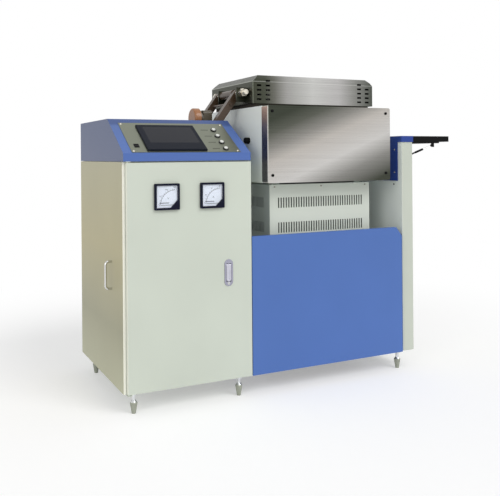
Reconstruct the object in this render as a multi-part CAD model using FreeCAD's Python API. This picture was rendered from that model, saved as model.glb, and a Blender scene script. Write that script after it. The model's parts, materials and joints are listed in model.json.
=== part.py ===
"""Sample fusion machine: control cabinet, heated furnace with a rocking crucible cradle,
lifting hood on lever arms, and a column with a fold-down tool shelf.

Sizes are in millimetres. x runs from the cabinet's left side, y from the front of the
cabinet's frame towards the back, z from the floor up. At the end everything is moved so
that the origin lies on the floor under the middle of the machine.
"""
import FreeCAD, Part
import math
import os

os.makedirs("parts", exist_ok=True)
Vector = FreeCAD.Vector
X_AXIS = Vector(1, 0, 0)
Y_AXIS = Vector(0, 1, 0)
Z_AXIS = Vector(0, 0, 1)

# Sheet metal, tubes and general clearances
sheet = 2.0
seat_gap = 0.3
running_gap = 0.05
hole_gap = 0.5
post_size = 25.0
rail_size = 40.0

# Levelling feet
foot_height = 90.0
foot_stem_radius = 8.0
foot_pad_radius = 17.0
foot_tip_radius = 9.0
foot_pad_height = 56.0
foot_shoulder = 10.0
foot_neck_radius = 10.0
foot_nut_flats = 24.0
foot_nut_height = 13.0
foot_inset = 50.0
foot_front_inset = 20.0
foot_back_inset = 85.0

# Control cabinet
cabinet_width = 600.0
cabinet_depth = 745.0
cabinet_height = 990.0
side_door_thickness = 12.0

# Front door
door_thickness = 20.0
door_gap = 2.0
door_edge = 3.0
door_pivot_inset = 6.0
door_pivot_setback = 7.0
door_pivot_radius = 3.0
door_pivot_length = 12.0
door_bracket_thickness = 3.0
door_bracket_width = 20.0
door_bracket_tongue = 10.0
door_boss_margin = 5.5
door_boss_height = 16.0

# Panel meters
meter_size = 114.0
meter_pitch = 213.0
meter_from_top = 154.0
meter_proud = 13.0
meter_frame = 9.0
meter_corner_cut = 34.0
meter_dial_depth = 9.0
meter_corner_depth = 4.0
meter_edge_round = 4.0
meter_offset = -9.5
meter_glass_setback = 1.0
meter_body_radius = 45.0
meter_body_length = 58.0
needle_length = 62.0
needle_width = 1.6
needle_hub_radius = 4.0
needle_hub_inset = 36.0
needle_hub_length = 3.0
needle_thickness = 1.0

# Door latch
latch_width = 41.0
latch_height = 120.0
latch_mid_height = 485.0
latch_from_edge = 116.5
latch_rim = 3.0
paddle_width = 22.0
paddle_height = 80.0
paddle_pin_radius = 2.0
paddle_pin_setback = 2.5
paddle_pin_drop = 6.0
paddle_knuckle_radius = 5.0
paddle_gap = 1.0
paddle_thickness = 4.0
paddle_dish_depth = 2.0
paddle_dish_margin = 4.5
paddle_dish_short = 34.0
paddle_dish_drop = 8.0
latch_case_wall = 1.0
latch_case_proud = 8.0

# Side door handle and hinges
handle_length = 120.0
handle_reach = 34.0
handle_bar_radius = 5.5
handle_bend = 14.0
handle_from_front = 168.0
side_door_edge = 2.0
side_hinge_count = 3
side_hinge_lowest = 150.0
side_hinge_pitch = 345.0
barrel_radius = 5.0
barrel_pin_radius = 2.5
barrel_height = 24.0
barrel_leaf_width = 26.0
barrel_leaf_thickness = 2.0
barrel_back_gap = 1.0
side_leaf_inset = 2.0

# Operator console
console_lip_height = 35.0
console_lip_proud = 20.0
console_height = 192.6
console_ridge_setback = 231.0
slope_cut_depth = 10.0
plate_left = 40.0
plate_width = 512.0
plate_start = 4.0
plate_length = 254.0
plate_thickness = 2.0
screen_case_left = 113.0
screen_case_width = 278.0
screen_case_start = 15.0
screen_case_length = 213.0
screen_case_proud = 9.0
screen_case_depth = 40.0
screen_case_step = 12.0
screen_left = 139.0
screen_width = 235.0
screen_start = 70.0
screen_length = 140.0
screen_recess = 1.5
screen_case_chamfer = 2.5
screen_glass_setback = 0.4
button_count = 4
button_column = 487.0
button_first = 31.0
button_pitch = 55.3
button_hole_radius = 11.0
button_bezel_radius = 14.0
button_bezel_height = 4.0
button_cap_radius = 9.0
button_cap_proud = 8.0
button_travel = 3.0
button_cap_sunk = 10.0
button_cap_round = 1.5
button_bezel_chamfer = 1.2
button_sleeve_length = 24.0
button_body_length = 46.0
button_block_size = 24.0
rocker_column = 74.0
rocker_row = 58.0
rocker_frame_width = 22.0
rocker_frame_length = 26.0
rocker_width = 15.0
rocker_length = 19.0
rocker_throw = 9.0
rocker_rim = 2.0
rocker_wall = 2.5
rocker_body_depth = 20.0
rocker_pocket_depth = 12.0
rocker_pin_radius = 1.0
rocker_pin_drop = 2.0
rocker_proud = 4.0
rocker_sunk = 4.0
rocker_end_gap = 1.2
rocker_taper = 1.5
rocker_dip = 1.4

# Control gear inside the cabinet
gear_count = 3
gear_width = 110.0
gear_height = 190.0
gear_depth = 120.0
gear_pitch = 160.0
gear_base_height = 560.0
gear_fins = 6
gear_fin_gap = 7.0
gear_fin_depth = 58.0
breaker_count = 6
breaker_width = 35.0
breaker_height = 82.0
breaker_depth = 68.0
breaker_base_height = 330.0
breaker_gap = 1.0
breaker_nose = 10.0
breaker_nose_inset = 20.0
mounting_plate_inset = 60.0

# Furnace bay between the cabinet and the column
bay_width = 877.0
column_width = 68.0
column_height = 1075.0
column_front = -5.0
skirt_front = -22.0
skirt_height = 640.0
skirt_lift = 2.0
skirt_depth = 20.0
skirt_gap_left = 4.0
skirt_gap_right = 16.0
skirt_corner_width = 36.0
skirt_corner_height = 45.0
skirt_rail_height = 600.0
skirt_bracket_inset = 50.0
skirt_bracket_width = 40.0
skirt_bracket_height = 12.0

# Slotted pedestal
pedestal_width = 581.0
pedestal_front = 75.0
pedestal_back = 685.0
pedestal_height = 870.0
slot_width = 7.0
slot_height = 50.0
slot_pitch = 14.2
slot_count = 35
slot_side_count = 34
slot_upper_from_top = 88.0
slot_lower_from_top = 208.0
pedestal_post = 30.0
transformer_width = 300.0
transformer_depth = 220.0
transformer_height = 300.0
transformer_limb = 60.0
coil_radius = 62.0
coil_height = 170.0

# Furnace
furnace_width = 704.0
furnace_height = 363.0
furnace_body_depth = 700.0
furnace_standoff = 12.0
cover_front = -22.0
cover_depth = 56.0
cover_corner = 9.0
cover_bolt_inset = 27.0
cover_bolt_radius = 7.0
cover_bolt_head = 4.0
cover_bolt_round = 1.5
cover_bolt_lift = 36.0
port_plug_radius = 15.5
port_plug_length = 24.0
port_plug_round = 5.0
port_plug_stem_radius = 10.0
port_plug_setback = 136.0
port_plug_height = 202.0
cover_post_radius = 10.0
chamber_depth = 400.0
floor_insulation = 60.0
support_rail_inset = 30.0
shaft_hole_gap = 3.0
rod_radius = 7.0
rod_wall_gap = 22.0
rod_rows = 3
rod_first_height = 40.0
rod_pitch = 62.0
thermocouple_radius = 5.0
thermocouple_height = 71.0
thermocouple_reach = 60.0
rod_end_cover = 20.0
probe_flange_radius = 16.0
probe_flange_thickness = 5.0
probe_neck_radius = 7.0
probe_neck_length = 24.0
probe_head_radius = 17.0
probe_head_height = 32.0

# Rocking crucible cradle
cradle_height = 141.0
cradle_offset = -4.0
cradle_shaft_radius = 12.0
cradle_length = 420.0
cradle_end_gap = 32.0
cradle_rail_width = 8.0
cradle_rail_thickness = 6.0
cradle_block_length = 20.0
cradle_block_size = 56.0
crucible_count = 4
crucible_pitch = 100.0
crucible_rim_radius = 23.0
crucible_top_radius = 19.0
crucible_bottom_radius = 15.0
crucible_wall = 2.0
crucible_rim_height = 3.0
crucible_depth = 34.0
mould_radius = 24.0
mould_dish_radius = 18.0
mould_thickness = 11.0
mould_dish_depth = 7.0
mould_draft = 2.0
mould_rack_length = 400.0
mould_rack_width = 62.0
mould_rack_thickness = 5.0
boss_radius = 34.0
boss_thickness = 15.0
boss_chamfer = 3.0
shaft_end_proud = 5.0
gearmotor_width = 56.0
gearmotor_size = 96.0
gearmotor_round = 14.0
gearmotor_gap = 8.0
gearmotor_flange_radius = 40.0
gearmotor_motor_radius = 26.0
gearmotor_motor_lift = 14.0
gearmotor_motor_length = 120.0

# Hood with its lid
hood_front = 125.0
hood_depth = 490.0
hood_lift_gap = 19.0
hood_wall_height = 106.0
hood_height = 138.0
hood_side_bevel = 35.0
hood_end_bevel_height = 17.0
hood_end_bevel_depth = 15.0
lid_inset = 17.0
lid_plate_thickness = 4.0
vent_width = 24.0
vent_height = 9.0
vent_pitch = 22.5
vent_first_height = 15.5
vent_outer_inset = 23.0
vent_outer_count = 4
vent_inner_inset = 71.5
vent_inner_count = 5

# Lifting lever
pivot_from_cabinet_side = 59.0
pivot_above_deck = 159.0
spindle_from_hood = 21.0
spindle_above_hood_base = 56.0
arm_size = 35.0
arm_front = 249.5
arm_spacing = 215.0
arm_hub_radius = 26.0
arm_slot_gap = 4.0
arm_slot_reach = 52.0
arm_slot_edge = 8.0
drive_gap = 6.0
lift_shaft_radius = 15.0
lift_shaft_overhang = 12.0
cross_tube_radius = 21.0
spindle_radius = 12.0
spindle_front = 150.0
spindle_nut_flats = 36.0
spindle_nut_height = 19.5
spindle_thin_nut = 12.0
spindle_washer_radius = 21.0
spindle_washer_thickness = 3.0
spindle_end = 12.0
cross_rod_radius = 6.0
cross_rod_along_arm = 145.0
cross_rod_proud = 8.0
lug_thickness = 8.0
lug_width = 45.0
lug_above = 26.0
lug_below = 45.0
lug_from_arm = 29.5
lift_motor_radius = 51.0
lift_motor_length = 34.0
lift_motor_round = 9.0
lift_neck_radius = 40.0
lift_neck_length = 15.0
gearbox_width = 46.0
gearbox_depth = 80.0
worm_offset = 50.0
gearbox_crown = 40.0
gearbox_round = 16.0
gearbox_boss_radius = 28.0
gearbox_boss_proud = 8.0
gearbox_stem_inset = 4.0
gearbox_foot_spread = 14.0
gearbox_foot_thickness = 12.0

# Column cap, shelf and stays
cap_side_proud = 4.0
cap_height = 31.0
cap_cheek_length = 201.0
cap_cheek_front = 26.0
cap_cheek_thickness = 3.0
shelf_front = 5.0
shelf_depth = 400.0
shelf_length = 249.0
shelf_thickness = 29.0
shelf_gap = 6.0
shelf_frame_drop = 8.0
shelf_frame_length = 185.0
hinge_drop = 19.0
hinge_setback = 11.0
hinge_pin_radius = 3.0
hinge_knuckle_radius = 6.0
hinge_knuckle_length = 16.0
hinge_inset = 90.0
hinge_ear = 5.0
hinge_plate_thickness = 3.0
hinge_plate_half = 14.0
shelf_frame_setback = 12.0
shelf_frame_inset = 2.0
stay_anchor_height = 1011.0
stay_anchor_reach = 7.0
stay_bracket_along = 135.0
stay_inset = 8.0
stay_tube_length = 82.0
stay_tube_radius = 5.5
stay_neck_length = 31.0
stay_neck_radius = 4.0
stay_bore_start = 9.0
stay_rod_radius = 2.6
stay_rod_reach = 76.0
stay_pin_radius = 2.0
stay_eye_radius = 6.0
stay_eye_width = 9.0
stay_side_gap = 1.0
stay_ear_thickness = 3.0
stay_bracket_width = 18.0


def box(x0, x1, y0, y1, z0, z1):
    """A block between two opposite corners."""
    return Part.makeBox(x1 - x0, y1 - y0, z1 - z0, Vector(x0, y0, z0))


def rod(radius, length, start, direction):
    """A round bar from a start point along a direction."""
    return Part.makeCylinder(radius, length, Vector(*start), direction)


def tube(outer, inner, length, start, direction):
    """A round bar with a bore right through it."""
    return rod(outer, length, start, direction).cut(rod(inner, length, start, direction))


def group(solids):
    """Separate solids that share one node."""
    return Part.makeCompound(solids)


def joined(solids):
    """Solids welded or cast into one."""
    whole = solids[0].fuse(solids[1:]).removeSplitter()
    assert len(whole.Solids) == 1, "solids that should be one don't meet"
    return whole.Solids[0]


def prism(points, direction):
    """A flat outline swept along a straight line."""
    corners = [Vector(*point) for point in points]
    return Part.Face(Part.makePolygon(corners + corners[:1])).extrude(direction)


def inset(points, amounts):
    """Move each edge of a counter-clockwise outline inwards and return the new corners."""
    edges = []
    for (u0, v0), (u1, v1), amount in zip(points, points[1:] + points[:1], amounts):
        length = math.hypot(u1 - u0, v1 - v0)
        normal_u = -(v1 - v0) / length
        normal_v = (u1 - u0) / length
        edges.append((normal_u, normal_v, normal_u * u0 + normal_v * v0 + amount))
    corners = []
    for (a, b, c), (d, e, f) in zip(edges[-1:] + edges[:-1], edges):
        turn = a * e - b * d
        corners.append(((c * e - b * f) / turn, (a * f - c * d) / turn))
    return corners


def panels(outer, inner, start, direction, skipped):
    """One flat sheet for each edge between an outline and its inset, mitred at the folds."""
    sheets = []
    for index in range(len(outer)):
        if index in skipped:
            continue
        after = (index + 1) % len(outer)
        quad = [outer[index], outer[after], inner[after], inner[index]]
        sheets.append(prism([start(u, v) for u, v in quad], direction))
    return sheets


def pan_sheets(outline, start, depth, face):
    """A shallow pan as flat sheets: its face, then a mitred lip along each edge."""
    inner = inset(outline, [sheet] * len(outline))
    return [prism([start(u, v) for u, v in inner], face)] + panels(outline, inner, start, depth, ())


def front_edges(shape, axis, level):
    """The edges that lie wholly in one plane across an axis."""
    chosen = []
    for edge in shape.Edges:
        box_of_edge = edge.BoundBox
        low = (box_of_edge.XMin, box_of_edge.YMin, box_of_edge.ZMin)[axis]
        high = (box_of_edge.XMax, box_of_edge.YMax, box_of_edge.ZMax)[axis]
        if abs(low - level) < 0.01 and abs(high - level) < 0.01:
            chosen.append(edge)
    return chosen


def edges_along(shape, axis):
    """The straight edges that run along x, y or z (0, 1 or 2)."""
    return [edge for edge in shape.Edges if abs(edge.tangentAt(edge.FirstParameter)[axis]) > 0.99]


def hexagon(flats, height, centre, direction):
    """A hexagonal nut blank around a centre line, without its hole."""
    radius = flats / math.sqrt(3)
    points = []
    for turn in range(6):
        angle = math.radians(60 * turn)
        points.append(Vector(radius * math.cos(angle), radius * math.sin(angle), 0))
    blank = Part.Face(Part.makePolygon(points + points[:1])).extrude(Vector(0, 0, height))
    blank.Placement = FreeCAD.Placement(Vector(*centre), FreeCAD.Rotation(Z_AXIS, direction))
    return blank


def stadium(width, height, thickness, centre_x, centre_z, y0):
    """An upright plate with half-round ends, lying in the front plane."""
    radius = width / 2
    reach = height / 2 - radius
    middle = box(centre_x - radius, centre_x + radius, y0, y0 + thickness, centre_z - reach, centre_z + reach)
    ends = [rod(radius, thickness, (centre_x, y0, centre_z + side * reach), Y_AXIS) for side in (-1, 1)]
    return joined([middle] + ends)


# Levels and lines that follow from the sizes above
base_z = foot_height
cabinet_top = base_z + cabinet_height
post_left = side_door_thickness + hole_gap
post_right = cabinet_width - sheet
post_back = cabinet_depth - sheet
column_left = cabinet_width + bay_width
column_right = column_left + column_width
column_top = base_z + column_height
column_back = cabinet_depth
bay_middle = cabinet_width + bay_width / 2


def cabinet_frame():
    """Square posts and rails, one solid each, with room for the sheets around them."""
    low = base_z + sheet
    high = cabinet_top - sheet
    posts_x = (post_left, post_right - post_size)
    posts_y = (0, post_back - post_size)
    solids = []
    for x in posts_x:
        for y in posts_y:
            solids.append(box(x, x + post_size, y, y + post_size, low, high))
    for z in (low, high - post_size):
        for y in posts_y:
            solids.append(box(posts_x[0] + post_size, posts_x[1], y, y + post_size, z, z + post_size))
        for x in posts_x:
            solids.append(box(x, x + post_size, post_size, posts_y[1], z, z + post_size))
    return group(solids)


def cabinet_plates():
    """Floor sheet and deck sheet."""
    floor = box(post_left, cabinet_width, 0, cabinet_depth, base_z, base_z + sheet)
    deck = box(post_left, cabinet_width, 0, cabinet_depth, cabinet_top - sheet, cabinet_top)
    return group([floor, deck])


def cabinet_back():
    return box(post_left, post_right, post_back, cabinet_depth, base_z + sheet, cabinet_top - sheet)


def cabinet_right_side():
    return box(post_right, cabinet_width, 0, cabinet_depth, base_z + sheet, cabinet_top - sheet)


# Front door: a pan hung on two pins near its left edge
door_left = side_door_thickness + door_gap
door_right = cabinet_width
door_back = -door_gap
door_face = door_back - door_thickness
door_bottom = base_z + door_edge
door_top = cabinet_top - door_edge - door_bracket_thickness
door_pivot_x = door_left + door_pivot_inset
door_pivot_y = door_face + door_pivot_setback
meter_middle = (door_left + door_right) / 2 + meter_offset
meter_centres = (meter_middle - meter_pitch / 2, meter_middle + meter_pitch / 2)
meter_z = cabinet_top - meter_from_top
latch_x = cabinet_width - latch_from_edge
latch_z = base_z + latch_mid_height


def front_door():
    """A pan, open at the back, with two pivot bosses and holes for the meters and latch."""
    outline = [(door_left, door_bottom), (door_right, door_bottom), (door_right, door_top),
               (door_left, door_top)]
    sheets = pan_sheets(outline, lambda x, z: (x, door_face, z), Vector(0, door_thickness, 0),
                        Vector(0, sheet, 0))
    for x in meter_centres:
        sheets[0] = sheets[0].cut(rod(meter_body_radius + hole_gap, sheet, (x, door_face, meter_z), Y_AXIS))
    sheets[0] = sheets[0].cut(latch_block(paddle_gap + latch_case_wall, door_face, door_back))
    for z in (door_bottom + sheet, door_top - sheet - door_boss_height):
        sheets.append(box(door_left + sheet, door_pivot_x + door_boss_margin, door_face + sheet,
                          door_pivot_y + door_boss_margin, z, z + door_boss_height))
    pin_hole = door_pivot_radius + running_gap
    pins = [rod(pin_hole, door_pivot_length + hole_gap, (door_pivot_x, door_pivot_y, z), direction)
            for z, direction in ((door_bottom, Z_AXIS), (door_top, -Z_AXIS))]
    return group([piece.cut(pins) for piece in sheets])


def door_pivots():
    """Top and bottom brackets on the cabinet, each with a pin for the door."""
    reach = door_edge + door_bracket_thickness + door_pivot_length
    left = post_left
    right = post_left + door_bracket_width
    front = door_face + sheet
    top_z = cabinet_top - seat_gap - door_bracket_thickness
    top_plate = box(left, right, front, 0, top_z, top_z + door_bracket_thickness)
    top_pin = rod(door_pivot_radius, reach, (door_pivot_x, door_pivot_y, top_z + door_bracket_thickness),
                  -Z_AXIS)
    low_z = base_z - door_bracket_thickness
    low_plate = box(left, right, front, door_bracket_tongue, low_z, base_z)
    low_pin = rod(door_pivot_radius, reach, (door_pivot_x, door_pivot_y, low_z), Z_AXIS)
    return [joined([top_plate, top_pin]), joined([low_plate, low_pin])]


def meter_window(x, margin, y0, depth):
    """The dial's outline with its lower right corner cut off, as a flat block."""
    half = meter_size / 2 - meter_frame - margin
    left = x - half
    right = x + half
    low = meter_z - half
    high = meter_z + half
    outline = [(left, y0, low), (right - meter_corner_cut, y0, low), (right, y0, low + meter_corner_cut),
               (right, y0, high), (left, y0, high)]
    return prism(outline, Vector(0, depth, 0))


def meter_case(x):
    """A square case with a covered dial corner, a sunk dial and a round body behind."""
    half = meter_size / 2
    front = door_face - meter_proud
    frame = box(x - half, x + half, front, door_face, meter_z - half, meter_z + half)
    frame = frame.makeFillet(meter_edge_round, edges_along(frame, 1))
    frame = frame.cut(meter_window(x, 0, front, meter_corner_depth))
    cavity = half - meter_frame
    frame = frame.cut(box(x - cavity, x + cavity, front + meter_corner_depth, front + meter_dial_depth,
                          meter_z - cavity, meter_z + cavity))
    body = rod(meter_body_radius, meter_body_length, (x, front + meter_dial_depth + sheet, meter_z), Y_AXIS)
    return joined([frame, body])


def meter_glass(x):
    """The clear window, set into the case's frame in front of the needle."""
    return meter_window(x, seat_gap, door_face - meter_proud + meter_glass_setback, sheet)


def needle_centre(x):
    return (x + needle_hub_inset, door_face - meter_proud + meter_dial_depth, meter_z - needle_hub_inset)


def meter_needle(x):
    """A hub and a thin pointer that lies level at zero."""
    hub_x, dial_y, hub_z = needle_centre(x)
    hub_start = dial_y - seat_gap - needle_hub_length
    hub = rod(needle_hub_radius, needle_hub_length, (hub_x, hub_start, hub_z), Y_AXIS)
    half = needle_width / 2
    pointer = box(hub_x - needle_length, hub_x, hub_start + needle_thickness, hub_start + 2 * needle_thickness,
                  hub_z - half, hub_z + half)
    return joined([hub, pointer])


paddle_pin_y = door_face + paddle_pin_setback
paddle_pin_z = latch_z + paddle_height / 2 - paddle_pin_drop


def latch_block(margin, y0, y1):
    """A block round the paddle, larger than it by a margin."""
    half_width = paddle_width / 2 + margin
    half_height = paddle_height / 2 + margin
    return box(latch_x - half_width, latch_x + half_width, y0, y1, latch_z - half_height, latch_z + half_height)


def latch_plate():
    """Oval escutcheon with a case behind the paddle and a pin across it."""
    front = door_face - latch_rim
    case_back = door_back + latch_case_proud
    plate = stadium(latch_width, latch_height, latch_rim, latch_x, latch_z, front)
    case = latch_block(paddle_gap + latch_case_wall, door_face, case_back)
    body = joined([plate, case]).cut(latch_block(paddle_gap, front, case_back - sheet))
    half = paddle_width / 2 + paddle_gap
    pin = rod(paddle_pin_radius, 2 * half, (latch_x - half, paddle_pin_y, paddle_pin_z), X_AXIS)
    return joined([body, pin])


def latch_paddle():
    """A dished pull that swings out about its top pin, with a round top edge that clears the case."""
    front = door_face - latch_rim
    half = paddle_width / 2
    top_radius = paddle_pin_drop + paddle_gap - seat_gap
    round_top = rod(top_radius, paddle_width, (latch_x - half, paddle_pin_y, paddle_pin_z), X_AXIS)
    below_pin = box(latch_x - half, latch_x + half, front, front + paddle_thickness,
                    latch_z - paddle_height / 2,
                    paddle_pin_z)
    body = stadium(paddle_width, paddle_height, paddle_thickness, latch_x, latch_z, front)
    body = body.common(joined([round_top, below_pin]))
    knuckle = rod(paddle_knuckle_radius, paddle_width, (latch_x - half, paddle_pin_y, paddle_pin_z), X_AXIS)
    dish = stadium(paddle_width - 2 * paddle_dish_margin, paddle_height - paddle_dish_short, paddle_dish_depth,
                   latch_x, latch_z - paddle_dish_drop, front)
    bore = rod(paddle_pin_radius + running_gap, paddle_width, (latch_x - half, paddle_pin_y, paddle_pin_z),
               X_AXIS)
    return joined([body, knuckle]).cut(dish).cut(bore)


# Side access door: a pan over the whole left side, on barrel hinges behind the back corner
side_hinge_x = (side_door_thickness + post_left) / 2
side_hinge_y = cabinet_depth + barrel_radius + barrel_back_gap
fixed_leaf_left = side_hinge_x + barrel_radius + barrel_back_gap
side_hinge_heights = [base_z + side_hinge_lowest + side_hinge_pitch * index
                      for index in range(side_hinge_count)]
side_door_bottom = base_z + side_door_edge
side_door_top = cabinet_top - side_door_edge


def side_door():
    outline = [(0, side_door_bottom), (cabinet_depth, side_door_bottom), (cabinet_depth, side_door_top),
               (0, side_door_top)]
    return group(pan_sheets(outline, lambda y, z: (0, y, z), Vector(side_door_thickness, 0, 0),
                            Vector(sheet, 0, 0)))


def side_handle():
    """A bent round bar with two legs, standing off the side door."""
    half = handle_length / 2
    reach = handle_reach - handle_bar_radius
    bend = handle_bend
    y = handle_from_front
    outline = [Vector(0, y, latch_z - half), Vector(-reach + bend, y, latch_z - half),
               Vector(-reach, y, latch_z - half + bend), Vector(-reach, y, latch_z + half - bend),
               Vector(-reach + bend, y, latch_z + half), Vector(0, y, latch_z + half)]
    diagonal = bend * (1 - math.sqrt(0.5))
    low_arc = Part.Arc(outline[1], Vector(-reach + diagonal, y, latch_z - half + diagonal), outline[2])
    high_arc = Part.Arc(outline[3], Vector(-reach + diagonal, y, latch_z + half - diagonal), outline[4])
    path = Part.Wire([Part.LineSegment(outline[0], outline[1]).toShape(), low_arc.toShape(),
                      Part.LineSegment(outline[2], outline[3]).toShape(), high_arc.toShape(),
                      Part.LineSegment(outline[4], outline[5]).toShape()])
    section = Part.Wire(Part.makeCircle(handle_bar_radius, outline[0], X_AXIS))
    return path.makePipeShell([section], True, False)


def barrel_levels(low):
    """Start and length of the lower, middle and upper knuckles of one hinge."""
    middle = low + barrel_height
    upper = low + 2 * barrel_height
    length = barrel_height - 2 * running_gap
    return (low, length), (middle, length), (upper, length)


def fixed_hinge_leaves():
    """Leaves on the cabinet's back with the outer knuckles and the pin."""
    leaves = []
    for centre_z in side_hinge_heights:
        low = centre_z - 1.5 * barrel_height
        lower, _, upper = barrel_levels(low)
        pin = rod(barrel_pin_radius, upper[0] + upper[1] - low, (side_hinge_x, side_hinge_y, low), Z_AXIS)
        leaf = box(fixed_leaf_left, fixed_leaf_left + barrel_leaf_width, cabinet_depth,
                   cabinet_depth + barrel_leaf_thickness, low, upper[0] + upper[1])
        pieces = [pin, leaf]
        for start, length in (lower, upper):
            pieces.append(rod(barrel_radius, length, (side_hinge_x, side_hinge_y, start), Z_AXIS))
            pieces.append(box(side_hinge_x, fixed_leaf_left, cabinet_depth + seat_gap,
                              cabinet_depth + seat_gap + barrel_leaf_thickness, start, start + length))
        leaves.append(joined(pieces))
    return leaves


def side_hinge_leaves():
    """Leaves on the side door's rear lip with the middle knuckle."""
    leaves = []
    for centre_z in side_hinge_heights:
        start, length = barrel_levels(centre_z - 1.5 * barrel_height)[1]
        leaf = box(side_leaf_inset, side_hinge_x, cabinet_depth, cabinet_depth + barrel_leaf_thickness, start,
                   start + length)
        knuckle = rod(barrel_radius, length, (side_hinge_x, side_hinge_y, start), Z_AXIS)
        bore = rod(barrel_pin_radius + running_gap, length, (side_hinge_x, side_hinge_y, start), Z_AXIS)
        leaves.append(joined([leaf, knuckle]).cut(bore))
    return group(leaves)


# Operator console: a folded shell whose sloping front carries the controls
lip_y = -console_lip_proud
lip_z = cabinet_top + console_lip_height
console_top = cabinet_top + console_height
slope_run = console_ridge_setback + console_lip_proud
slope_rise = console_top - lip_z
slope_angle = math.degrees(math.atan2(slope_rise, slope_run))


def on_slope(shape):
    """Lay a shape built flat (x across, y up the slope, z outwards) onto the console's slope."""
    shape = shape.copy()
    shape.rotate(Vector(0, 0, 0), X_AXIS, slope_angle)
    shape.translate(Vector(0, lip_y, lip_z))
    return shape


def screen_hole(deep):
    """The cut-out for the touch screen's housing, built flat."""
    margin = screen_case_step - hole_gap
    return box(screen_case_left + margin, screen_case_left + screen_case_width - margin,
               screen_case_start + margin, screen_case_start + screen_case_length - margin, -deep, deep)


def top_openings():
    """Slots for the two arms and a cut-out for the drive, in the console's top."""
    low = console_top - 2 * sheet
    cutters = []
    for arm_y in arm_starts():
        cutters.append(box(arm_slot_left, arm_slot_right, arm_y - arm_slot_gap, arm_y + arm_size + arm_slot_gap,
                           low, console_top))
    half = lift_motor_radius + drive_gap
    cutters.append(box(motor_left - drive_gap, gearbox_left + gearbox_width + drive_gap, drive_middle_y - half,
                       drive_middle_y + half, low, console_top))
    return cutters


def console_shell():
    """Lip, slope, top and back sheets between two side sheets."""
    profile = [(lip_y, cabinet_top), (cabinet_depth, cabinet_top), (cabinet_depth, console_top),
               (console_ridge_setback, console_top), (lip_y, lip_z)]
    inner = inset(profile, [0, sheet, sheet, sheet, sheet])
    back, top, slope, lip = panels(profile, inner, lambda y, z: (sheet, y, z),
                                   Vector(cabinet_width - 2 * sheet, 0, 0), (0,))
    for hole in [screen_hole(slope_cut_depth), rocker_hole(slope_cut_depth)]:
        slope = slope.cut(on_slope(hole))
    for row in button_rows():
        slope = slope.cut(on_slope(button_hole(row, slope_cut_depth)))
    for opening in top_openings():
        top = top.cut(opening)
    sides = [prism([(x, y, z) for y, z in profile], Vector(sheet, 0, 0)) for x in (0, cabinet_width - sheet)]
    return group([back, top, slope, lip] + sides)


def button_rows():
    return [button_first + button_pitch * index for index in range(button_count)]


def button_hole(row, deep):
    return rod(button_hole_radius + hole_gap / 2, 2 * deep, (button_column, row, -deep), Z_AXIS)


def rocker_block(width, length, low, high):
    """A block centred on the switch, built flat."""
    return box(rocker_column - width / 2, rocker_column + width / 2, rocker_row - length / 2,
               rocker_row + length / 2, low, high)


def rocker_hole(deep):
    return rocker_block(rocker_frame_width - 2 * rocker_rim, rocker_frame_length - 2 * rocker_rim, -deep, deep)


def console_plate():
    """The flat facing that carries the screen, buttons and switch."""
    plate = box(plate_left, plate_left + plate_width, plate_start, plate_start + plate_length, 0,
                plate_thickness)
    plate = plate.cut(screen_hole(slope_cut_depth)).cut(rocker_hole(slope_cut_depth))
    for row in button_rows():
        plate = plate.cut(button_hole(row, slope_cut_depth))
    return on_slope(plate)


def touch_screen_case():
    """Front frame with a sunk window, and the housing behind it."""
    right = screen_case_left + screen_case_width
    end = screen_case_start + screen_case_length
    front = box(screen_case_left, right, screen_case_start, end, plate_thickness,
                plate_thickness + screen_case_proud)
    front = front.makeChamfer(screen_case_chamfer, front_edges(front, 2, plate_thickness + screen_case_proud))
    rear = box(screen_case_left + screen_case_step, right - screen_case_step,
               screen_case_start + screen_case_step,
               end - screen_case_step, plate_thickness - screen_case_depth, plate_thickness + 1)
    face = plate_thickness + screen_case_proud
    window = box(screen_left, screen_left + screen_width, screen_start, screen_start + screen_length,
                 face - screen_recess, face)
    return on_slope(joined([front, rear]).cut(window))


def touch_screen_glass():
    face = plate_thickness + screen_case_proud
    return on_slope(box(screen_left + seat_gap, screen_left + screen_width - seat_gap, screen_start + seat_gap,
                        screen_start + screen_length - seat_gap, face - screen_recess,
                        face - screen_glass_setback))


def button_bezel(row):
    """Round bezel in front of the plate and the sleeve and contact block behind it."""
    collar = rod(button_bezel_radius, button_bezel_height, (button_column, row, plate_thickness), Z_AXIS)
    face = plate_thickness + button_bezel_height
    collar = collar.makeChamfer(button_bezel_chamfer, front_edges(collar, 2, face))
    sleeve_start = plate_thickness - button_sleeve_length
    sleeve = rod(button_hole_radius, button_sleeve_length, (button_column, row, sleeve_start), Z_AXIS)
    half = button_block_size / 2
    block = box(button_column - half, button_column + half, row - half, row + half,
                plate_thickness - button_body_length, sleeve_start)
    bore_depth = button_bezel_height + button_cap_sunk + button_travel + hole_gap
    bore = rod(button_cap_radius + running_gap, bore_depth, (button_column, row, face - bore_depth), Z_AXIS)
    return on_slope(joined([collar, sleeve, block]).cut(bore))


def button_cap(row):
    """A domed cap that slides in its bezel."""
    length = button_cap_proud + button_cap_sunk
    start = plate_thickness - button_cap_sunk
    cap = rod(button_cap_radius, length, (button_column, row, start), Z_AXIS)
    return on_slope(cap.makeFillet(button_cap_round, front_edges(cap, 2, start + length)))


rocker_pin_level = plate_thickness - rocker_pin_drop


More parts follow.
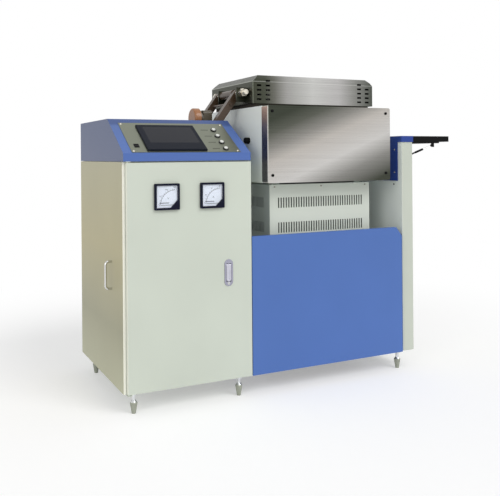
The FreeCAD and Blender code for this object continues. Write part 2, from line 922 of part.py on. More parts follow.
def rocker_frame():
    """Rim, body behind the plate, pocket and the key's pin."""
    face = plate_thickness + rocker_rim
    rim = rocker_block(rocker_frame_width, rocker_frame_length, plate_thickness, face)
    body = rocker_block(rocker_frame_width - 2 * rocker_wall, rocker_frame_length - 2 * rocker_wall,
                        plate_thickness - rocker_body_depth, plate_thickness)
    pocket = rocker_block(rocker_width, rocker_length, plate_thickness - rocker_pocket_depth, face)
    pin_start = (rocker_column - rocker_width / 2, rocker_row, rocker_pin_level)
    pin = rod(rocker_pin_radius, rocker_width, pin_start, X_AXIS)
    return on_slope(joined([joined([rim, body]).cut(pocket), pin]))


def rocker():
    """A shallow V key on a pin, resting on its lower half."""
    half_width = rocker_width / 2 - seat_gap
    half_length = rocker_length / 2 - rocker_end_gap
    top = plate_thickness + rocker_proud
    low = plate_thickness - rocker_sunk
    outline = [(rocker_row - half_length, top), (rocker_row - half_length + rocker_taper, low),
               (rocker_row + half_length - rocker_taper, low), (rocker_row + half_length, top),
               (rocker_row, top - rocker_dip)]
    key = prism([(rocker_column - half_width, y, z) for y, z in outline], Vector(2 * half_width, 0, 0))
    bore = rod(rocker_pin_radius + running_gap, rocker_width,
               (rocker_column - rocker_width / 2, rocker_row, rocker_pin_level), X_AXIS)
    key = key.cut(bore)
    key.rotate(Vector(rocker_column, rocker_row, rocker_pin_level), X_AXIS, rocker_throw)
    return on_slope(key)


# Control gear on the mounting plate at the back of the cabinet
mount_y = post_back - post_size
cabinet_middle = (post_left + post_right) / 2


def mounting_plate():
    return box(post_left, post_right, mount_y - sheet, mount_y, base_z + mounting_plate_inset,
               cabinet_top - mounting_plate_inset)


def power_controller(x, face):
    """A block whose front is split into cooling fins."""
    z0 = base_z + gear_base_height
    z1 = z0 + gear_height
    unit = box(x, x + gear_width, face - gear_depth, face, z0, z1)
    fin_pitch = gear_width / gear_fins
    for fin in range(gear_fins):
        groove = x + (fin + 0.5) * fin_pitch - gear_fin_gap / 2
        unit = unit.cut(box(groove, groove + gear_fin_gap, face - gear_depth,
                            face - gear_depth + gear_fin_depth, z0, z1))
    return unit


def breaker(x, face):
    """A circuit breaker with its stepped nose."""
    z0 = base_z + breaker_base_height
    z1 = z0 + breaker_height
    front = face - breaker_depth
    body = box(x, x + breaker_width, front, face, z0, z1)
    nose = box(x, x + breaker_width, front - breaker_nose, front, z0 + breaker_nose_inset,
               z1 - breaker_nose_inset)
    return joined([body, nose])


def control_gear():
    """Finned power controllers above a row of circuit breakers."""
    face = mount_y - sheet
    first_gear = cabinet_middle - (gear_count - 1) * gear_pitch / 2 - gear_width / 2
    solids = [power_controller(first_gear + index * gear_pitch, face) for index in range(gear_count)]
    breaker_pitch = breaker_width + breaker_gap
    first_breaker = cabinet_middle - breaker_count * breaker_pitch / 2
    solids.extend(breaker(first_breaker + index * breaker_pitch, face) for index in range(breaker_count))
    return group(solids)


# Furnace bay: base frame, skirt and slotted pedestal
pedestal_left = bay_middle - pedestal_width / 2
pedestal_right = bay_middle + pedestal_width / 2
pedestal_top = base_z + pedestal_height
pedestal_middle = (pedestal_front + pedestal_back) / 2
rail_top = base_z + rail_size


def base_frame():
    """Rails under the bay, an upper rail behind the skirt, pedestal posts and the transformer's tray."""
    rail_front = 0
    rail_back = cabinet_depth - rail_size
    solids = []
    for y in (rail_front, rail_back):
        solids.append(box(cabinet_width, column_left, y, y + rail_size, base_z, rail_top))
    for x in (cabinet_width, pedestal_left, pedestal_right - rail_size, column_left - rail_size):
        solids.append(box(x, x + rail_size, rail_front + rail_size, rail_back, base_z, rail_top))
    upper_z = base_z + skirt_rail_height - rail_size
    solids.append(box(cabinet_width, column_left, rail_front, rail_size, upper_z, upper_z + rail_size))
    for x in (pedestal_left + sheet, pedestal_right - sheet - pedestal_post):
        for y in (pedestal_front + sheet, pedestal_back - sheet - pedestal_post):
            solids.append(box(x, x + pedestal_post, y, y + pedestal_post, rail_top, pedestal_top - sheet))
    solids.append(box(pedestal_left + sheet, pedestal_right - sheet, pedestal_middle - transformer_depth / 2,
                      pedestal_middle + transformer_depth / 2, rail_top, rail_top + sheet))
    return group(solids)


def skirt_panel():
    """A pan with one upper corner cut off, open at the back, on four brackets."""
    left = cabinet_width + skirt_gap_left
    right = column_left - skirt_gap_right
    low = base_z + skirt_lift
    high = base_z + skirt_height
    outline = [(left, low), (right, low), (right, high - skirt_corner_height),
               (right - skirt_corner_width, high), (left, high)]
    solids = pan_sheets(outline, lambda x, z: (x, skirt_front, z), Vector(0, skirt_depth, 0),
                        Vector(0, sheet, 0))
    for x in (left + skirt_bracket_inset, right - skirt_bracket_inset - skirt_bracket_width):
        for z in (base_z + skirt_rail_height - rail_size, base_z + skirt_bracket_height):
            solids.append(box(x, x + skirt_bracket_width, skirt_front + sheet, 0, z, z + skirt_bracket_height))
    return group(solids)


def slot_starts(count, middle):
    """Where each upright slot of a row starts, about a middle line."""
    first = middle - (count - 1) * slot_pitch / 2 - slot_width / 2
    return [first + index * slot_pitch for index in range(count)]


def slot_levels():
    """Bottom and top of both rows of slots."""
    middles = [pedestal_top - drop for drop in (slot_upper_from_top, slot_lower_from_top)]
    return [(middle - slot_height / 2, middle + slot_height / 2) for middle in middles]


def pedestal_front_panel():
    y0 = pedestal_front
    y1 = pedestal_front + sheet
    panel = box(pedestal_left, pedestal_right, y0, y1, rail_top, pedestal_top)
    slots = [box(x, x + slot_width, y0, y1, low, high)
             for low, high in slot_levels() for x in slot_starts(slot_count, bay_middle)]
    return panel.cut(group(slots))


def pedestal_sides():
    """Two slotted side panels, the back panel and the top sheet under the furnace."""
    inner_top = pedestal_top - sheet
    inner_back = pedestal_back - sheet
    solids = []
    for x in (pedestal_left, pedestal_right - sheet):
        panel = box(x, x + sheet, pedestal_front + sheet, inner_back, rail_top, inner_top)
        slots = [box(x, x + sheet, y, y + slot_width, low, high)
                 for low, high in slot_levels() for y in slot_starts(slot_side_count, pedestal_middle)]
        solids.append(panel.cut(group(slots)))
    solids.append(box(pedestal_left, pedestal_right, inner_back, pedestal_back, rail_top, inner_top))
    solids.append(box(pedestal_left, pedestal_right, pedestal_front + sheet, pedestal_back, inner_top,
                      pedestal_top))
    return group(solids)


def transformer():
    """A two-limb laminated core with a coil on each limb."""
    x0 = bay_middle - transformer_width / 2
    x1 = bay_middle + transformer_width / 2
    y0 = pedestal_middle - transformer_limb / 2
    y1 = pedestal_middle + transformer_limb / 2
    z0 = rail_top + sheet
    z1 = z0 + transformer_height
    window_low = z0 + transformer_limb
    window_high = z1 - transformer_limb
    yokes = [box(x0, x1, y0, y1, z0, window_low), box(x0, x1, y0, y1, window_high, z1)]
    limbs = [box(x0, x0 + transformer_limb, y0, y1, window_low, window_high),
             box(x1 - transformer_limb, x1, y0, y1, window_low, window_high)]
    coil_z = (z0 + z1 - coil_height) / 2
    half = transformer_limb / 2 + hole_gap
    solids = yokes + limbs
    for x in (x0 + transformer_limb / 2, x1 - transformer_limb / 2):
        coil = rod(coil_radius, coil_height, (x, pedestal_middle, coil_z), Z_AXIS)
        solids.append(coil.cut(box(x - half, x + half, pedestal_middle - half, pedestal_middle + half, coil_z,
                                   coil_z + coil_height)))
    return group(solids)


# Furnace box with its chamber and insulation
furnace_left = bay_middle - furnace_width / 2
furnace_right = bay_middle + furnace_width / 2
furnace_bottom = pedestal_top + furnace_standoff
furnace_top = furnace_bottom + furnace_height
body_front = cover_front + cover_depth
body_back = body_front + furnace_body_depth
chamber_width = cradle_length + 2 * cradle_end_gap
chamber_left = bay_middle - chamber_width / 2
chamber_right = bay_middle + chamber_width / 2
cradle_y = (body_front + body_back) / 2 + cradle_offset
cradle_z = furnace_bottom + cradle_height
chamber_front = cradle_y - chamber_depth / 2
chamber_back = cradle_y + chamber_depth / 2
chamber_floor = furnace_bottom + sheet + floor_insulation
insulation_top = furnace_top - sheet
shaft_hole = cradle_shaft_radius + shaft_hole_gap
probe_z = chamber_floor + thermocouple_height


def furnace_casing():
    """Side, back, front and bottom sheets, the top rim around the mouth and two support rails."""
    low = furnace_bottom
    high = insulation_top
    left = box(furnace_left, furnace_left + sheet, body_front, body_back, low, high)
    right = box(furnace_right - sheet, furnace_right, body_front, body_back, low, high)
    left = left.cut(rod(shaft_hole, sheet, (furnace_left, cradle_y, cradle_z), X_AXIS))
    left = left.cut(rod(port_plug_stem_radius + running_gap, sheet, side_port(), X_AXIS))
    right = right.cut(rod(shaft_hole, sheet, (furnace_right - sheet, cradle_y, cradle_z), X_AXIS))
    back = box(furnace_left + sheet, furnace_right - sheet, body_back - sheet, body_back, low, high)
    back = back.cut(rod(thermocouple_radius + hole_gap, sheet, (bay_middle, body_back - sheet, probe_z),
                        Y_AXIS))
    front = box(furnace_left + sheet, furnace_right - sheet, body_front, body_front + sheet, low, high)
    bottom = box(furnace_left + sheet, furnace_right - sheet, body_front + sheet, body_back - sheet, low,
                 low + sheet)
    rim = [box(furnace_left, chamber_left, body_front, body_back, high, furnace_top),
           box(chamber_right, furnace_right, body_front, body_back, high, furnace_top),
           box(chamber_left, chamber_right, body_front, chamber_front, high, furnace_top),
           box(chamber_left, chamber_right, chamber_back, body_back, high, furnace_top)]
    rails = []
    for x in (pedestal_left + support_rail_inset, pedestal_right - support_rail_inset - rail_size):
        rails.append(box(x, x + rail_size, pedestal_front + support_rail_inset,
                         pedestal_back - support_rail_inset,
                         pedestal_top, furnace_bottom))
    return group([left, right, back, front, bottom] + rim + rails)


def rod_levels():
    return [chamber_floor + rod_first_height + rod_pitch * row for row in range(rod_rows)]


def rod_lines():
    return (chamber_front + rod_wall_gap, chamber_back - rod_wall_gap)


def insulation_blocks():
    """Floor, front, back and two end blocks; the end blocks are bored for shaft and rods."""
    left = furnace_left + sheet
    right = furnace_right - sheet
    front = body_front + sheet
    back = body_back - sheet
    low = furnace_bottom + sheet
    floor = box(left, right, front, back, low, chamber_floor)
    ends = []
    for x0, x1 in ((left, chamber_left), (chamber_right, right)):
        block = box(x0, x1, front, back, chamber_floor, insulation_top)
        block = block.cut(rod(shaft_hole, x1 - x0, (x0, cradle_y, cradle_z), X_AXIS))
        for y in rod_lines():
            for z in rod_levels():
                block = block.cut(rod(rod_radius + hole_gap, x1 - x0, (x0, y, z), X_AXIS))
        ends.append(block)
    front_block = box(chamber_left, chamber_right, front, chamber_front, chamber_floor, insulation_top)
    back_block = box(chamber_left, chamber_right, chamber_back, back, chamber_floor, insulation_top)
    well = rod(thermocouple_radius + hole_gap, back - chamber_back, (bay_middle, chamber_back, probe_z), Y_AXIS)
    return group([floor] + ends + [front_block, back_block.cut(well)])


def heating_rods():
    """Level rods along the front and back walls, held in the end blocks."""
    start = furnace_left + sheet + rod_end_cover
    length = furnace_width - 2 * sheet - 2 * rod_end_cover
    return group([rod(rod_radius, length, (start, y, z), X_AXIS) for y in rod_lines() for z in rod_levels()])


def thermocouple():
    """A sheathed probe through the back wall with its connection head outside."""
    tip = chamber_back - thermocouple_reach
    head_y = body_back + probe_neck_length
    sheath = rod(thermocouple_radius, head_y - tip, (bay_middle, tip, probe_z), Y_AXIS)
    flange = rod(probe_flange_radius, probe_flange_thickness, (bay_middle, body_back, probe_z), Y_AXIS)
    neck = rod(probe_neck_radius, probe_neck_length, (bay_middle, body_back, probe_z), Y_AXIS)
    head = rod(probe_head_radius, probe_head_height, (bay_middle, head_y, probe_z - probe_head_height / 2),
               Z_AXIS)
    return joined([sheath, flange, neck, head])


def rounded_block(margin, depth):
    """The cover's outline as a block with rounded corners."""
    block = box(furnace_left + margin, furnace_right - margin, cover_front, cover_front + depth,
                furnace_bottom + margin, furnace_top - margin)
    return block.makeFillet(cover_corner - margin, edges_along(block, 1))


def furnace_cover():
    """The stainless front tray: its face, straight and rounded lips, and four stand-offs."""
    ring = rounded_block(0, cover_depth).cut(rounded_block(sheet, cover_depth))
    corners = []
    for x in (furnace_left, furnace_right - cover_corner):
        for z in (furnace_bottom, furnace_top - cover_corner):
            corners.append(box(x, x + cover_corner, cover_front, body_front, z, z + cover_corner))
    round_lips = [ring.common(corner) for corner in corners]
    straight_lips = ring.cut(corners).Solids
    length = cover_depth - sheet
    posts = [rod(cover_post_radius, length, (x, cover_front + sheet, z), Y_AXIS)
             for x, z in cover_bolt_points()]
    return group([rounded_block(sheet, sheet)] + straight_lips + round_lips + posts)


def cover_bolt_points():
    xs = (furnace_left + cover_bolt_inset, furnace_right - cover_bolt_inset)
    zs = (furnace_bottom + cover_bolt_lift, furnace_top - cover_bolt_inset)
    return [(x, z) for x in xs for z in zs]


def side_port():
    """Where the service port's centre line leaves the furnace's left side."""
    return furnace_left, body_front + port_plug_setback, furnace_bottom + port_plug_height


def port_plug():
    """A round screwed plug in the service port beside the console."""
    x, y, z = side_port()
    outer_x = x - port_plug_length
    head = rod(port_plug_radius, port_plug_length, (outer_x, y, z), X_AXIS)
    head = head.makeFillet(port_plug_round, front_edges(head, 0, outer_x))
    return joined([head, rod(port_plug_stem_radius, sheet, (x, y, z), X_AXIS)])


def cover_bolts():
    """The furnace's black screwed pieces: round-headed bolts seated on the cover, and the port plug."""
    front = cover_front - cover_bolt_head
    bolts = []
    for x, z in cover_bolt_points():
        head = rod(cover_bolt_radius, cover_bolt_head, (x, front, z), Y_AXIS)
        bolts.append(head.makeFillet(cover_bolt_round, front_edges(head, 1, front)))
    return group(bolts + [port_plug()])


# Crucible cradle, its bearings and drive
def shaft_bearings():
    """Flanged bosses on both sides of the furnace."""
    solids = []
    for x, outer_x in ((furnace_left - boss_thickness, furnace_left - boss_thickness),
                       (furnace_right, furnace_right + boss_thickness)):
        boss = rod(boss_radius, boss_thickness, (x, cradle_y, cradle_z), X_AXIS)
        boss = boss.makeChamfer(boss_chamfer, front_edges(boss, 0, outer_x))
        solids.append(boss.cut(rod(cradle_shaft_radius + running_gap, boss_thickness, (x, cradle_y, cradle_z),
                                   X_AXIS)))
    return group(solids)


def crucible_positions():
    first = bay_middle - (crucible_count - 1) * crucible_pitch / 2
    return [first + index * crucible_pitch for index in range(crucible_count)]


shaft_left = furnace_left - boss_thickness - shaft_end_proud
gearmotor_left = furnace_right + boss_thickness + gearmotor_gap


def cradle():
    """Shaft stubs with end blocks, two long rails and cross bars between the crucibles."""
    half = cradle_length / 2
    low = cradle_z - cradle_rail_thickness / 2
    high = cradle_z + cradle_rail_thickness / 2
    inner = crucible_top_radius + hole_gap
    outer = inner + cradle_rail_width
    block_half = cradle_block_size / 2
    solids = []
    for y0, y1 in ((-outer, -inner), (inner, outer)):
        solids.append(box(bay_middle - half, bay_middle + half, cradle_y + y0, cradle_y + y1, low, high))
    bars = [x + crucible_pitch / 2 for x in crucible_positions()[:-1]]
    bars.append(crucible_positions()[0] - crucible_pitch / 2)
    bars.append(crucible_positions()[-1] + crucible_pitch / 2)
    for x in bars:
        solids.append(box(x - cradle_rail_width / 2, x + cradle_rail_width / 2, cradle_y - inner,
                          cradle_y + inner, low, high))
    for x0 in (bay_middle - half - cradle_block_length, bay_middle + half):
        solids.append(box(x0, x0 + cradle_block_length, cradle_y - block_half, cradle_y + block_half,
                          cradle_z - cradle_block_size / 4, cradle_z + cradle_block_size / 4))
    left_block = bay_middle - half - cradle_block_length
    right_block = bay_middle + half + cradle_block_length
    right_end = gearmotor_left + gearmotor_width / 2
    solids.append(rod(cradle_shaft_radius, left_block - shaft_left, (shaft_left, cradle_y, cradle_z), X_AXIS))
    solids.append(rod(cradle_shaft_radius, right_end - right_block, (right_block, cradle_y, cradle_z), X_AXIS))
    return group(solids)


def crucibles():
    """Tapered cups that hang by their rims in the cradle plate."""
    seat = cradle_z + cradle_rail_thickness / 2
    cups = []
    for x in crucible_positions():
        top = seat + crucible_rim_height
        bottom = top - crucible_depth
        profile = [(0, bottom), (crucible_bottom_radius, bottom), (crucible_top_radius, seat),
                   (crucible_rim_radius, seat), (crucible_rim_radius, top),
                   (crucible_top_radius - crucible_wall, top),
                   (crucible_bottom_radius - crucible_wall, bottom + crucible_wall),
                   (0, bottom + crucible_wall)]
        corners = [Vector(x + radius, cradle_y, z) for radius, z in profile]
        face = Part.Face(Part.makePolygon(corners + corners[:1]))
        cups.append(face.revolve(Vector(x, cradle_y, 0), Z_AXIS, 360))
    return group(cups)


mould_z = chamber_floor + mould_rack_thickness


def mould_rack():
    """A low rack plate on the chamber floor."""
    half = mould_rack_length / 2
    return box(bay_middle - half, bay_middle + half, cradle_y - mould_rack_width / 2,
               cradle_y + mould_rack_width / 2,
               chamber_floor, mould_z)


def moulds():
    """One shallow casting dish below each crucible."""
    dishes = []
    for x in crucible_positions():
        dish = rod(mould_radius, mould_thickness, (x, cradle_y, mould_z), Z_AXIS)
        hollow = Part.makeCone(mould_dish_radius - mould_draft, mould_dish_radius, mould_dish_depth,
                               Vector(x, cradle_y, mould_z + mould_thickness - mould_dish_depth), Z_AXIS)
        dishes.append(dish.cut(hollow))
    return group(dishes)


def cradle_gearmotor():
    """Worm gearbox on the shaft's right end, bolted to the column, with its motor behind."""
    half = gearmotor_size / 2
    x0 = gearmotor_left
    x1 = x0 + gearmotor_width
    housing = box(x0, x1, cradle_y - half, cradle_y + half, cradle_z - half, cradle_z + half)
    housing = housing.makeFillet(gearmotor_round, edges_along(housing, 0))
    mount = rod(gearmotor_flange_radius, column_left - cap_cheek_thickness - x1, (x1, cradle_y, cradle_z),
                X_AXIS)
    motor = rod(gearmotor_motor_radius, gearmotor_motor_length,
                ((x0 + x1) / 2, cradle_y + half, cradle_z + gearmotor_motor_lift), Y_AXIS)
    body = joined([housing, mount, motor])
    return body.cut(rod(cradle_shaft_radius + running_gap, gearmotor_width, (x0, cradle_y, cradle_z), X_AXIS))


# Hood and lid
hood_width = furnace_width
hood_left = bay_middle - hood_width / 2
hood_right = bay_middle + hood_width / 2
hood_back = hood_front + hood_depth
hood_bottom = furnace_top + hood_lift_gap
hood_top = hood_bottom + hood_height
hood_side_top = hood_bottom + hood_wall_height
lid_plate_top = hood_bottom + lid_plate_thickness


def hood_outline():
    """Side-bevelled outline across the hood."""
    return [(hood_left, hood_bottom), (hood_right, hood_bottom), (hood_right, hood_side_top),
            (hood_right - hood_side_bevel, hood_top), (hood_left + hood_side_bevel, hood_top),
            (hood_left, hood_side_top)]


def hood_end_outline():
    """End-bevelled outline along the hood."""
    bevel_z = hood_top - hood_end_bevel_height
    return [(hood_front, hood_bottom), (hood_back, hood_bottom), (hood_back, bevel_z),
            (hood_back - hood_end_bevel_depth, hood_top), (hood_front + hood_end_bevel_depth, hood_top),
            (hood_front, bevel_z)]


def hood_vents():
    """Slots through the hood's front and back walls, in two columns at each end."""
    cutters = []
    for column_inset, count in ((vent_outer_inset, vent_outer_count), (vent_inner_inset, vent_inner_count)):
        for x in (hood_left + column_inset, hood_right - column_inset - vent_width):
            for row in range(count):
                z = hood_bottom + vent_first_height + vent_pitch * row
                for y in (hood_front, hood_back - sheet):
                    cutters.append(box(x, x + vent_width, y, y + sheet, z, z + vent_height))
    return group(cutters)


def hood_shell():
    """Mitred cover sheets with vents, the base plate and the two lugs that take the spindle."""
    across = hood_outline()
    along = hood_end_outline()
    thickness = [0] + [sheet] * (len(across) - 1)
    across_form = prism([(x, hood_front, z) for x, z in across], Vector(0, hood_depth, 0))
    along_form = prism([(hood_left, y, z) for y, z in along], Vector(hood_width, 0, 0))
    base_edge = 0
    top_edge = 3
    end_sheets = panels(along, inset(along, thickness), lambda y, z: (hood_left, y, z),
                        Vector(hood_width, 0, 0),
                        (base_edge, top_edge))
    side_sheets = panels(across, inset(across, thickness), lambda x, z: (x, hood_front, z),
                         Vector(0, hood_depth, 0),
                         (base_edge,))
    solids = [end.common(across_form).cut(hood_vents()) for end in end_sheets]
    solids.extend(side.common(along_form).cut(group(end_sheets)) for side in side_sheets)
    solids.append(box(hood_left + sheet, hood_right - sheet, hood_front + sheet, hood_back - sheet, hood_bottom,
                      lid_plate_top))
    for y in lug_starts():
        lug = box(hood_left - lug_width, hood_left, y, y + lug_thickness, spindle_z - lug_below,
                  spindle_z + lug_above)
        solids.append(lug.cut(rod(spindle_radius, lug_thickness, (spindle_x, y, spindle_z), Y_AXIS)))
    return group(solids)


def lid_slab():
    """The insulating slab under the hood, which closes the chamber's mouth."""
    return box(hood_left + lid_inset, hood_right - lid_inset, hood_front + lid_inset, hood_back - lid_inset,
               furnace_top + seat_gap, hood_bottom)


# Lifting lever: two arms on the gearbox's output shaft, joined by a tube, a rod and the spindle
lift_pivot_x = cabinet_width - pivot_from_cabinet_side
lift_pivot_z = cabinet_top + pivot_above_deck
spindle_x = hood_left - spindle_from_hood
spindle_z = hood_bottom + spindle_above_hood_base
arm_run = spindle_x - lift_pivot_x
arm_rise = spindle_z - lift_pivot_z
arm_length = math.hypot(arm_run, arm_rise)
arm_angle = math.degrees(math.atan2(arm_rise, arm_run))
arm_back = arm_front + arm_spacing
drive_middle_y = (arm_front + arm_back + arm_size) / 2
motor_z = lift_pivot_z + worm_offset
gearbox_left = lift_pivot_x - gearbox_width / 2
motor_left = gearbox_left - lift_neck_length - lift_motor_length
arm_slot_left = lift_pivot_x - arm_slot_reach
arm_slot_right = cabinet_width - arm_slot_edge


def arm_starts():
    return (arm_front, arm_back)


def lug_starts():
    """One lug just ahead of each arm."""
    return [y - lug_from_arm - lug_thickness for y in arm_starts()]


def along_arm(distance):
    """A point on the arms' centre line, measured from the pivot."""
    angle = math.radians(arm_angle)
    return lift_pivot_x + distance * math.cos(angle), lift_pivot_z + distance * math.sin(angle)


def lift_arms():
    """Square bars with a hub at the output shaft and a rounded head at the spindle."""
    half = arm_size / 2
    arms = []
    for y in arm_starts():
        bar = box(0, arm_length, y, y + arm_size, -half, half)
        bar.rotate(Vector(0, 0, 0), Y_AXIS, -arm_angle)
        bar.translate(Vector(lift_pivot_x, 0, lift_pivot_z))
        hub = rod(arm_hub_radius, arm_size, (lift_pivot_x, y, lift_pivot_z), Y_AXIS)
        head = rod(half, arm_size, (spindle_x, y, spindle_z), Y_AXIS)
        arm = joined([bar, hub, head])
        arm = arm.cut(rod(lift_shaft_radius, arm_size, (lift_pivot_x, y, lift_pivot_z), Y_AXIS))
        rod_x, rod_z = along_arm(cross_rod_along_arm)
        arm = arm.cut(rod(cross_rod_radius, arm_size, (rod_x, y, rod_z), Y_AXIS))
        arms.append(arm.cut(rod(spindle_radius, arm_size, (spindle_x, y, spindle_z), Y_AXIS)))
    return group(arms)


def lift_cross_members():
    """The spacer tube round the spindle and the thin rod through both arms."""
    inner_start = arm_front + arm_size
    spacer = tube(cross_tube_radius, spindle_radius, lug_starts()[1] - inner_start,
                  (spindle_x, inner_start, spindle_z), Y_AXIS)
    rod_x, rod_z = along_arm(cross_rod_along_arm)
    rod_length = arm_spacing + arm_size + 2 * cross_rod_proud
    thin = rod(cross_rod_radius, rod_length, (rod_x, arm_front - cross_rod_proud, rod_z), Y_AXIS)
    return group([spacer, thin])


def lift_spindle():
    """Threaded bar with double nuts in front, a washer and thin nut behind each lug, and an end nut."""
    front_lug = lug_starts()[0]
    back_end = arm_back + arm_size
    end = back_end + spindle_thin_nut + spindle_end
    pieces = [rod(spindle_radius, end - spindle_front, (spindle_x, spindle_front, spindle_z), Y_AXIS)]
    for y in (front_lug - spindle_nut_height, front_lug - 2 * spindle_nut_height - seat_gap):
        pieces.append(hexagon(spindle_nut_flats, spindle_nut_height, (spindle_x, y, spindle_z), Y_AXIS))
    thin_nuts = [back_end]
    for lug in lug_starts():
        washer = lug + lug_thickness
        pieces.append(rod(spindle_washer_radius, spindle_washer_thickness, (spindle_x, washer, spindle_z), Y_AXIS))
        thin_nuts.append(washer + spindle_washer_thickness)
    for y in thin_nuts:
        pieces.append(hexagon(spindle_nut_flats, spindle_thin_nut, (spindle_x, y, spindle_z), Y_AXIS))
    return joined(pieces)


def lift_shaft():
    """The gearbox's output shaft, which turns with the arms."""
    start = arm_front - lift_shaft_overhang
    return rod(lift_shaft_radius, arm_spacing + arm_size + 2 * lift_shaft_overhang,
               (lift_pivot_x, start, lift_pivot_z), Y_AXIS)


def lift_gearbox():
    """Worm gearbox with a round output boss, on a cast foot that stands on the deck."""
    half = gearbox_depth / 2
    x0 = gearbox_left
    x1 = gearbox_left + gearbox_width
    y0 = drive_middle_y - half
    y1 = drive_middle_y + half
    wall = gearbox_stem_inset
    spread = gearbox_foot_spread
    housing = box(x0, x1, y0, y1, lift_pivot_z - worm_offset, motor_z + gearbox_crown)
    crown = [edge for edge in edges_along(housing, 0) if edge.BoundBox.ZMin > motor_z]
    housing = housing.makeFillet(gearbox_round, crown)
    boss_start = y0 - gearbox_boss_proud
    boss_length = gearbox_depth + 2 * gearbox_boss_proud
    boss = rod(gearbox_boss_radius, boss_length, (lift_pivot_x, boss_start, lift_pivot_z), Y_AXIS)
    neck = rod(lift_neck_radius, lift_neck_length, (x0 - lift_neck_length, drive_middle_y, motor_z), X_AXIS)
    stem = box(x0 + wall, x1 - wall, y0 + wall, y1 - wall, cabinet_top, lift_pivot_z - worm_offset)
    foot = box(x0 - spread, x1 + spread, y0 - spread, y1 + spread, cabinet_top,
               cabinet_top + gearbox_foot_thickness)
    whole = joined([housing, boss, neck, stem, foot])
    return whole.cut(rod(lift_shaft_radius + running_gap, boss_length,
                         (lift_pivot_x, boss_start, lift_pivot_z), Y_AXIS))


def lift_motor():
    """Short round motor with a rounded rear edge."""
    motor = rod(lift_motor_radius, lift_motor_length, (motor_left, drive_middle_y, motor_z), X_AXIS)
    return motor.makeFillet(lift_motor_round, front_edges(motor, 0, motor_left))


# Right column, its cap, the shelf and the stays
def right_column():
    """A closed box column: four mitred walls and two end plates."""
    outline = [(column_left, column_front), (column_right, column_front), (column_right, column_back),
               (column_left, column_back)]
    inner = inset(outline, [sheet] * len(outline))
    walls = panels(outline, inner, lambda x, y: (x, y, base_z), Vector(0, 0, column_top - base_z), ())
    ends = [prism([(x, y, z) for x, y in inner], Vector(0, 0, sheet)) for z in (base_z, column_top - sheet)]
    return group(walls + ends)


cap_top = column_top + cap_height
cap_back = column_back + cap_side_proud


def column_cap():
    """Box cap over the column with a cheek down its left side."""
    top = box(column_left - cap_side_proud, column_right + cap_side_proud, column_front - cap_side_proud,
              cap_back,
              column_top, cap_top)
    cheek = box(column_left - cap_cheek_thickness, column_left, cap_cheek_front, cap_back - cap_cheek_front,
                cap_top - cap_height - cap_cheek_length, column_top)
    return group([top, cheek])


shelf_left = column_right + shelf_gap
shelf_back = shelf_front + shelf_depth
shelf_bottom = cap_top - shelf_thickness
shelf_right = shelf_left + shelf_length
shelf_hinge_x = column_right + hinge_setback
shelf_hinge_z = shelf_bottom - hinge_drop
stay_anchor_x = column_right + stay_anchor_reach
stay_anchor_z = base_z + stay_anchor_height
stay_top_x = shelf_hinge_x + stay_bracket_along
stay_top_z = shelf_hinge_z
stay_run = stay_top_x - stay_anchor_x
stay_rise = stay_top_z - stay_anchor_z
stay_length = math.hypot(stay_run, stay_rise)
stay_angle = math.degrees(math.atan2(stay_rise, stay_run))


def hinge_lines():
    return (shelf_front + hinge_inset, shelf_back - hinge_inset)


def stay_lines():
    """Each stay's line, with the side on which the shelf's bracket holds it."""
    return ((shelf_front + stay_inset, -1), (shelf_back - stay_inset, 1))


def shelf_board():
    """Shelf plate on a shorter frame, with hinge knuckles and stay brackets under it."""
    board = box(shelf_left, shelf_right, shelf_front, shelf_back, shelf_bottom, cap_top)
    board = board.cut(box(shelf_left + sheet, shelf_right - sheet, shelf_front + sheet, shelf_back - sheet,
                          shelf_bottom + sheet, cap_top - sheet))
    frame = box(shelf_left + shelf_frame_setback, shelf_left + shelf_frame_length,
                shelf_front + shelf_frame_inset,
                shelf_back - shelf_frame_inset, shelf_bottom - shelf_frame_drop, shelf_bottom)
    solids = [joined([board, frame])]
    for y in hinge_lines():
        start = y - hinge_knuckle_length / 2
        knuckle = rod(hinge_knuckle_radius, hinge_knuckle_length, (shelf_hinge_x, start, shelf_hinge_z), Y_AXIS)
        leaf = box(shelf_hinge_x, shelf_hinge_x + hinge_knuckle_radius, start, start + hinge_knuckle_length,
                   shelf_hinge_z, shelf_bottom)
        bore = rod(hinge_pin_radius + running_gap, hinge_knuckle_length,
                   (shelf_hinge_x, start, shelf_hinge_z), Y_AXIS)
        solids.append(joined([knuckle, leaf]).cut(bore))
    for y, side in stay_lines():
        inner = y + side * (stay_eye_width / 2 + stay_side_gap)
        outer = inner + side * stay_ear_thickness
        half = stay_bracket_width / 2
        solids.append(box(stay_top_x - half, stay_top_x + half, min(inner, outer), max(inner, outer),
                          stay_top_z - half, shelf_bottom - shelf_frame_drop))
    return group(solids)


